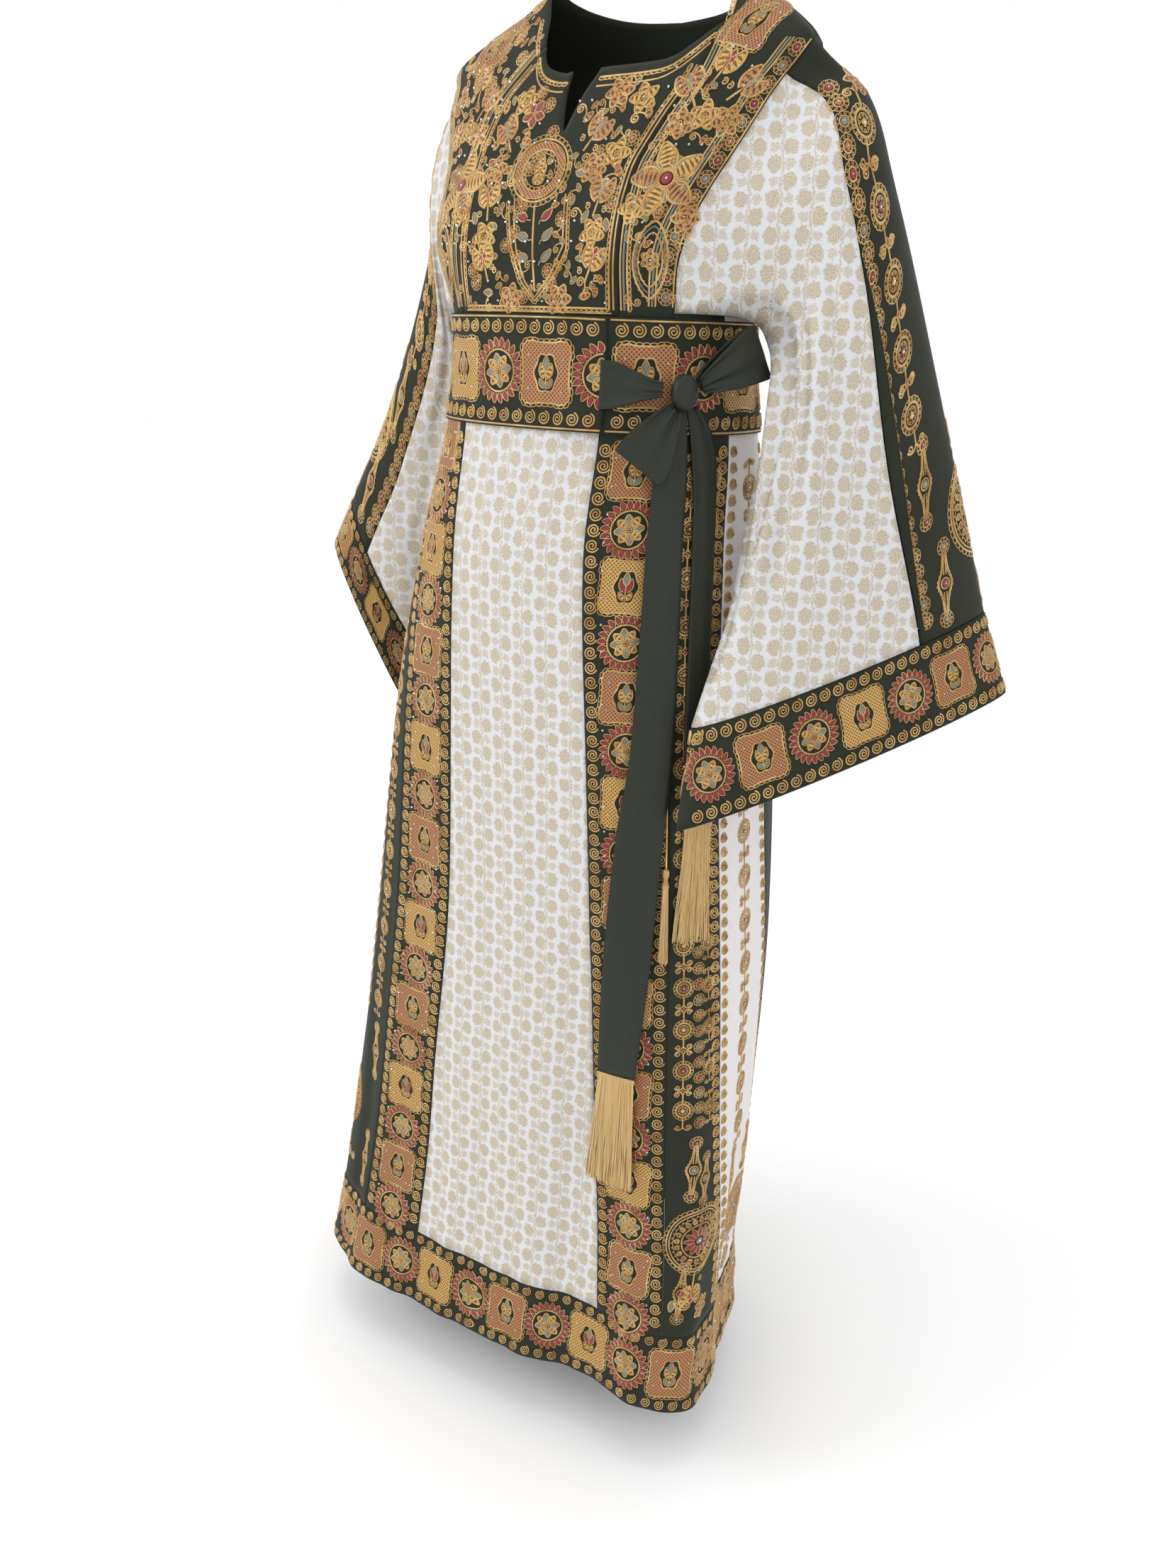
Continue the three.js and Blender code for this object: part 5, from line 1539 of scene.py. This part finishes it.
for tag, way, side, top_z, foot_z in (("r", "right", -1, -427, -1320), ("l", "left", 1, -437, -1326)):
    inner, outer = seam("front_" + way), seam("band_" + way)
    works = []
    for k in range(BAND_MOTIFS):
        z = top_z + (foot_z - top_z) * k / (BAND_MOTIFS - 1)
        size = min(1.0, (abs(outer(z) - inner(z)) - 25) / 55)
        works.append((in_turn(k + 1), (inner(z) + outer(z)) / 2, z, 0, size))
    z = np.linspace(-412, -1330, 60)
    works += chain(column(1, inner(z) + side * SEAM_COILS, z))
    works += chain(column(1, outer(z) - side * SEAM_COILS, z))
    for k in range(BAND_MOTIFS * 2):
        z = top_z + 24 + (foot_z - top_z) * (k + 0.5) / (BAND_MOTIFS * 2 - 1)
        works += scatter([(inner(z) + side * 19, z), (outer(z) - side * 19, z + 9)])
    sew("front_band_" + tag + "_embroidery", body, works)


# ---- Embroidered hem band ----
# Rosettes and squares alternate all round the hem, between two rows of coils.

HEM_START = -220
mid_z = (HEM + HEM_TOP) / 2
works = []
round_mid = float(girth(mid_z))
count = 2 * round(round_mid / 105)
for k in range(count):
    works.append((in_turn(k), HEM_START + 4 + k * round_mid / count, mid_z, 0, 0.98))
for z, start in ((HEM_TOP - 7.5, HEM_START), (HEM + 7.5, HEM_START + 7)):
    works += chain([(start, z), (start + float(girth(z)), z)], 15.5, 0.85)
sew("hem_embroidery", body, works)


# ---- Embroidered belt ----
# The belt repeats the bands' motifs at a closer spacing, with coils along both edges. The edge of its loose
# end cuts the last wheel in half.

BELT_MOTIF_SIZE = 1.1
BELT_COILS = 11
BELT_CORD = 2.2
belt_mid = (BELT_TOP + BELT_FOOT) / 2


def belt_works(start, end, coil_end, meshes):
    """Motifs (mesh, arc) along the middle of the belt, with cords and coils along its edges from start(z)."""
    works = [(mesh, a, belt_mid, 0, BELT_MOTIF_SIZE) for mesh, a in meshes]
    for z in (BELT_TOP - BELT_COILS, BELT_FOOT + BELT_COILS):
        works += chain([(start(z) + 2, z), (coil_end, z)], 15.5)
    return works + [line([(start(z), z), (end, z)]) for z in (BELT_TOP - BELT_CORD, BELT_FOOT + BELT_CORD)]


front_motifs = [(ROSETTE, -34), (SQUARES[0], 22), (SQUARES[1], -90), (ROSETTE, -146), (SQUARES[0], -202),
                (stamp(rosette, True), 80)]
sew("belt_front_embroidery", form, belt_works(lambda z: 2 - side_arc(-1, z), 80, 76, front_motifs),
    lambda a: belt_lift(a) + BELT_THICK)
round_belt = float(girth(belt_mid) - side_arc(-1, belt_mid))
back_motifs = [(in_turn(k + 1), 116 + k * (round_belt - 144) / 9) for k in range(10)]
sew("belt_back_embroidery", form, belt_works(lambda z: 84, round_belt - 2, round_belt - 4, back_motifs),
    lambda a: REST + BELT_THICK)


# ---- Embroidered chest ----
# An oval medallion below the neck slit, a lyre of stems with leaves under it, sprigs at the sides and a
# border of picots along the neckline and the seams.

LYRE = np.array([(-40, -206), (-34, -230), (-28, -248), (-14, -275), (4, -292),
                 (22, -272), (34, -248), (30, -226), (26, -204)])


def fill_in(works, places):
    """Adds small scrolls and florets where no motif lies near."""
    taken = [(a, z) for _, a, z, *_ in works if a or z]
    for a, z in places:
        if min(math.dist((a, z), spot) for spot in taken) > 11.5:
            k = len(taken)
            mesh = FLORET[NET] if k % 3 == 0 else HOOK[GREY if k % 2 else CRIMSON]
            works.append((mesh, a, z, k * 67, 0.78))
            taken.append((a, z))


def neck_border(side, start):
    """A line 9 mm below the neckline on one side, from a share of its length."""
    share = np.linspace(start, 0.97, 12)
    z = read(NECKLINES[side], share)
    return column(side, read(CHEST_SEAM[side], z) * share, z - 9)


neck_left, neck_right = neck_border(1, 0.2), neck_border(-1, 0.14)
works = [(OVAL, -12, -180, 0, 1.0), (FLORET[CRIMSON], -8, -148, 0, 0.8)]
works += [braid(neck_left), braid(neck_right[::-1]), line(neck_left - (0, 8)), line(neck_right - (0, 8))]
works += [braid(LYRE), line(LYRE * (0.86, 1) + (0, 3), 2.0), line([(-10, -210), (-4, -250), (3, -284)], 2.4)]
works += motifs(LEAF, 0.82, ((-16, -222, 150, CRIMSON), (1, -222, 30, CRIMSON), (-12, -239, 150, GREY),
                             (5, -239, 30, GREY), (-9, -257, 150, GREY), (7, -257, 30, GREY)))
works += motifs(TULIP, 1.25, ((-58, -262, 20, CRIMSON), (62, -262, -20, CRIMSON), (38, -152, -30, GREY),
                              (-60, -150, 30, GREY), (60, -206, -10, GREY), (-64, -208, 10, CRIMSON)))
works += [(BLOSSOM[colour], a, z, a * 3, 1.08) for a, z, colour in (
    (66, -168, NET), (-66, -178, COPPER), (-24, -290, COPPER), (30, -290, COPPER), (-50, -118, NET),
    (52, -116, COPPER), (78, -122, NET), (-36, -130, CRIMSON), (46, -180, COPPER), (60, -234, NET),
    (-62, -236, NET))]
works += [(HOOK[GREY if z % 4 else CRIMSON], a, z, turn_by, 1.05) for a, z, turn_by in (
    (-76, -160, 60), (-74, -226, 110), (76, -188, 120), (75, -234, 100), (-44, -176, 200), (28, -182, -20),
    (-74, -128, 80), (88, -140, 100), (-46, -286, 170), (52, -288, 10), (46, -226, 60), (-48, -230, 150),
    (-76, -252, 70), (76, -258, 110), (22, -140, 40), (-30, -156, 160))]
fill_in(works, [(a, z) for z in range(-288, -110, 11) for a in range(-76 + z % 3 * 4, 80, 11)
                if z < -160 or abs(a - 2) > 22])
works += scatter([(a, z) for a in range(-78, 84, 13) for z in range(-292, -118, 17)
                  if (a * 7 + z * 3) % 5 < 2])
for side, top_z in ((1, -96), (-1, -84)):
    z = np.linspace(top_z, -298, 34)
    reach = read(CHEST_SEAM[side], z)
    works += [braid(column(side, reach - 9, z)[::side]), line(column(side, reach - 5, z))]
works += [braid([(-80, -297), (80, -297)]), line([(-84, -301), (84, -301)])]
sew("chest_embroidery", body, works)


# ---- Embroidered yokes ----
# Down each yoke: a framed square at the shoulder, sprigs, a large five-petalled flower and an almond with a
# small flower; a braid of picots follows the chest seam and florets follow the arm seam.

NECK_CORNER = -10
UPPER_FOOT = -200
for side, tag, shift in ((1, "l", 0), (-1, "r", -14)):
    def moved(places):
        """The places' arcs and heights on this yoke: the right one's upper part is narrower."""
        return [(side * (a + shift * (z > UPPER_FOOT)), z, *rest) for a, z, *rest in places]

    works = [(SQUARES[0], side * (148 + shift), -60, -side * 14, 0.86),
             (STAR, side * (120 + shift), -190, 12 * side, 1.02), (ALMOND, side * 119, -256, -side * 3, 0.9)]
    works += motifs(TULIP, 1.25, moved(((140, -100, -side * 20, CRIMSON), (120, -118, side * 30, GREY),
                                        (164, -116, -side * 50, GREY))))
    works += motifs(TULIP, 0.8, ((side * 110, -30, side * 20, CRIMSON), (side * 146, -48, -side * 60, GREY)))
    works += motifs(BLOSSOM, 1.05, moved(((138, -138, 138, NET), (158, -142, 158, COPPER),
                                          (118, -144, 118, COPPER), (96, -214, 96, NET),
                                          (146, -222, 146, COPPER))))
    hooks = ((108, -160, 120), (140, -162, 60), (132, -122, 80), (98, -232, 250), (140, -240, 300),
             (100, -284, 240), (136, -282, 300), (152, -168, 40), (104, -176, 200))
    works += motifs(HOOK, 0.8, moved([(a, z, way if side > 0 else 180 - way, GREY if a % 4 else CRIMSON)
                                      for a, z, way in hooks]))
    neck_z = NECKLINES[side][-1][1]
    neck_a, tip = float(read(CHEST_SEAM[side], neck_z)), float(side_arc(side, NECK_CORNER))
    fill_in(works, [(side * a, z) for z in range(-286, -24, 10) for a in range(62, 196, 10)
                    if float(read(CHEST_SEAM[side], z)) + 15 < a < float(arm_arc(side, z)) - 31
                    and z < neck_z + (a - neck_a) / (tip - neck_a) * (NECK_CORNER - neck_z) - 17])
    works += scatter(moved([(a, z) for a in range(98, 168, 11) for z in range(-290, -70, 16)
                            if (a * 5 + z * 3) % 7 < 3 and a < arm_arc(side, z) - 26]))
    z = np.linspace(neck_z - 4, -298, 40)
    reach = read(CHEST_SEAM[side], z)
    works.append(braid(column(side, reach + 8.5, z)[::-side]))
    works += [line(column(side, reach + off, z), 1.8, colour) for off, colour in ((2, GOLD), (5, GREY))]
    z = np.linspace(-74, -294, 40)
    reach = arm_arc(side, z)
    works += row_of(FLORETS, column(side, reach - 9, z), 17, 0.85)
    works += [line(column(side, reach - off, z), 1.9, colour)
              for off, colour in ((1.8, GOLD), (18, GOLD), (21, GREY), (24, GOLD))]
    share = np.linspace(0.02, 0.6, 7)
    top = column(side, neck_a + 4 + share * (tip - neck_a), neck_z + share * (NECK_CORNER - neck_z) - 9)
    works.append(braid(top[::-side]))
    sew("yoke_" + tag + "_embroidery", body, works)


# ---- Embroidered side panels and gores ----
# Columns of scrolls and florets climb each side panel, with a spray and a large medallion near its foot. The
# satin gores carry a lighter column of the same scrolls.

near_seam, far_seam = seam("gore_near"), seam("gore_far")
for side, tag, band in ((1, "l", seam("band_left")), (-1, "r", seam("band_right"))):
    z = np.linspace(-420, -1100, 60)
    edge_z = np.linspace(-412, -1332, 60)
    near = side * band(z)
    width = near_seam(z) - near
    works = row_of(WHEELS, column(side, near + width * 0.27, z), 47, 0.88, 90)
    works += row_of(FLORETS, column(side, near + width * 0.53, z), 17, 0.75)
    works += row_of(WHEELS, column(side, near + width * 0.8 - 5, z), 47, 0.7, 90)
    works += chain(column(side, near_seam(edge_z) - SEAM_COILS, edge_z))
    near_a = float(band(-1230))
    foot_a = side * float(near_seam(-1225) - 42)
    works += [(MEDALLION, foot_a, -1228, 0, 0.85), (SPRAY, foot_a, -1158, 0, 0.72),
              (TULIP[CRIMSON], foot_a, -1282, 180, 1.3), (SPRAY, near_a + side * 22, -1145, 0, 0.9),
              (LOW_SPRAY, near_a + side * 26, -1288, 0, 0.86),
              (BLOSSOM[COPPER], foot_a + side * 20, -1312, 0, 1.0),
              (HOOK[GREY], foot_a - side * 18, -1296, 260, 1.2)]
    sew("side_panel_" + tag + "_embroidery", body, works)
    z = np.linspace(-430, -1160, 60)
    middle = near_seam(z) + (far_seam(z) - near_seam(z)) * 0.48
    works = row_of(WHEELS, column(side, middle, z), 50, 1.0, 90)
    works += chain(column(side, near_seam(edge_z) + SEAM_COILS, edge_z), 15.0, 0.9)
    works += chain(column(side, far_seam(edge_z) - SEAM_COILS, edge_z), 15.0, 0.9)
    low = float(near_seam(-1260))
    works += [(MEDALLION, side * (low + 66), -1254, 0, 0.85), (SPRAY, side * (low + 30), -1200, 0, 0.9),
              (SPRAY, side * (low + 66), -1180, 0, 0.7), (LOW_SPRAY, side * (low + 34), -1290, 0, 0.8),
              (TULIP[CRIMSON], side * (low + 66), -1308, 180, 1.2)]
    sew("side_gore_" + tag + "_embroidery", body, works)


# ---- Embroidered sleeves and cuffs ----
# Each outer panel has columns of florets along its seams, columns of scrolls and sprays inside them, and a
# large medallion above the cuff; the cuffs repeat the bands' rosettes and squares.

for tag, (side, _, _) in SLEEVES.items():
    cloth, deep, wide = SLEEVE_CLOTHS[tag]
    b = np.linspace(-30, -deep + 14, 60)
    wheel_b = np.linspace(-62, -deep + 205, 40)
    works = []
    for way in (-1, 1):
        works += row_of([FLORET[CRIMSON], FLORET[NET], FLORET[GREY], FLORET[NET]],
                        column(way, wide(b) / 2 - 10, b), 19, 1.1)
        works += row_of(WHEELS, column(way, wide(wheel_b) / 2 - 41, wheel_b), 62, 1.32, 90)
        works += [(mesh, way * (float(wide(-deep + rise)) / 2 - 42), -deep + rise, 8 * way, 1.1)
                  for rise, mesh in ((162, SPRAY), (52, LOW_SPRAY))]
    works += [(MEDALLION, 0, -deep + 104, 0, 1.05), (TULIP[CRIMSON], 0, -deep + 170, 0, 1.5),
              (SPRAY, 0, -deep + 36, 0, 0.7), (BLOSSOM[COPPER], 0, -52, 0, 1.2)]
    sew("sleeve_" + tag + "_embroidery", cloth, works)
    cuff, ring_length = CUFF_CLOTHS[tag]
    count = 2 * round(ring_length / 104)
    works = []
    for k in range(count):
        works.append((in_turn(k), (k + 0.5 - count / 2) * ring_length / count, -CUFF_DEPTH / 2, 0, 0.92))
    for z in (-8.5, -76):
        works += chain([(-ring_length / 2, z), (ring_length / 2, z)], 14.0, 0.95)
    sew("cuff_" + tag + "_embroidery", cuff, works)


# ---- Studio ----
# A white seamless floor and soft white light from three large sources, in front, at the side and above, and
# from a bright room.

floor_mesh = bpy.data.meshes.new("studio_floor")
floor_bm = bmesh.new()
bmesh.ops.create_grid(floor_bm, x_segments=1, y_segments=1, size=14)
floor_bm.to_mesh(floor_mesh)
floor_bm.free()
floor = bpy.data.objects.new("studio_floor", floor_mesh)
floor.location = (0, 0, -1.5)
bpy.context.scene.collection.objects.link(floor)
# Painted studio floor: matt white.
floor_paint, _, floor_shader = finish("matt_floor_paint", Roughness=0.9)
floor_shader.inputs["Base Color"].default_value = to_linear("#ffffff")
floor_mesh.materials.append(floor_paint)

world = bpy.data.worlds.new("bright_room")
world.use_nodes = True
room = world.node_tree.nodes["Background"]
room.inputs["Color"].default_value = to_linear("#ffffff")
room.inputs["Strength"].default_value = 1.0
bpy.context.scene.world = world
LAMPS = [
    # name, place in m, aimed at in m, size in m, power in W
    ("front_softbox", (-2.9, -2.5, 1.4), (0, 0, -0.7), 1.8, 40),
    ("side_softbox", (2.8, -1.9, 0.6), (0, 0, -0.8), 1.8, 4),
    ("top_softbox", (0.3, -0.3, 2.6), (0, 0, -0.7), 1.6, 12),
]
for name, at, aim, size, power in LAMPS:
    lamp = bpy.data.lights.new(name, "AREA")
    lamp.size = size
    lamp.energy = power
    holder = bpy.data.objects.new(name, lamp)
    holder.location = at
    holder.rotation_euler = (Vector(aim) - Vector(at)).to_track_quat("-Z", "Y").to_euler()
    bpy.context.scene.collection.objects.link(holder)
bpy.context.scene.view_settings.view_transform = "Standard"
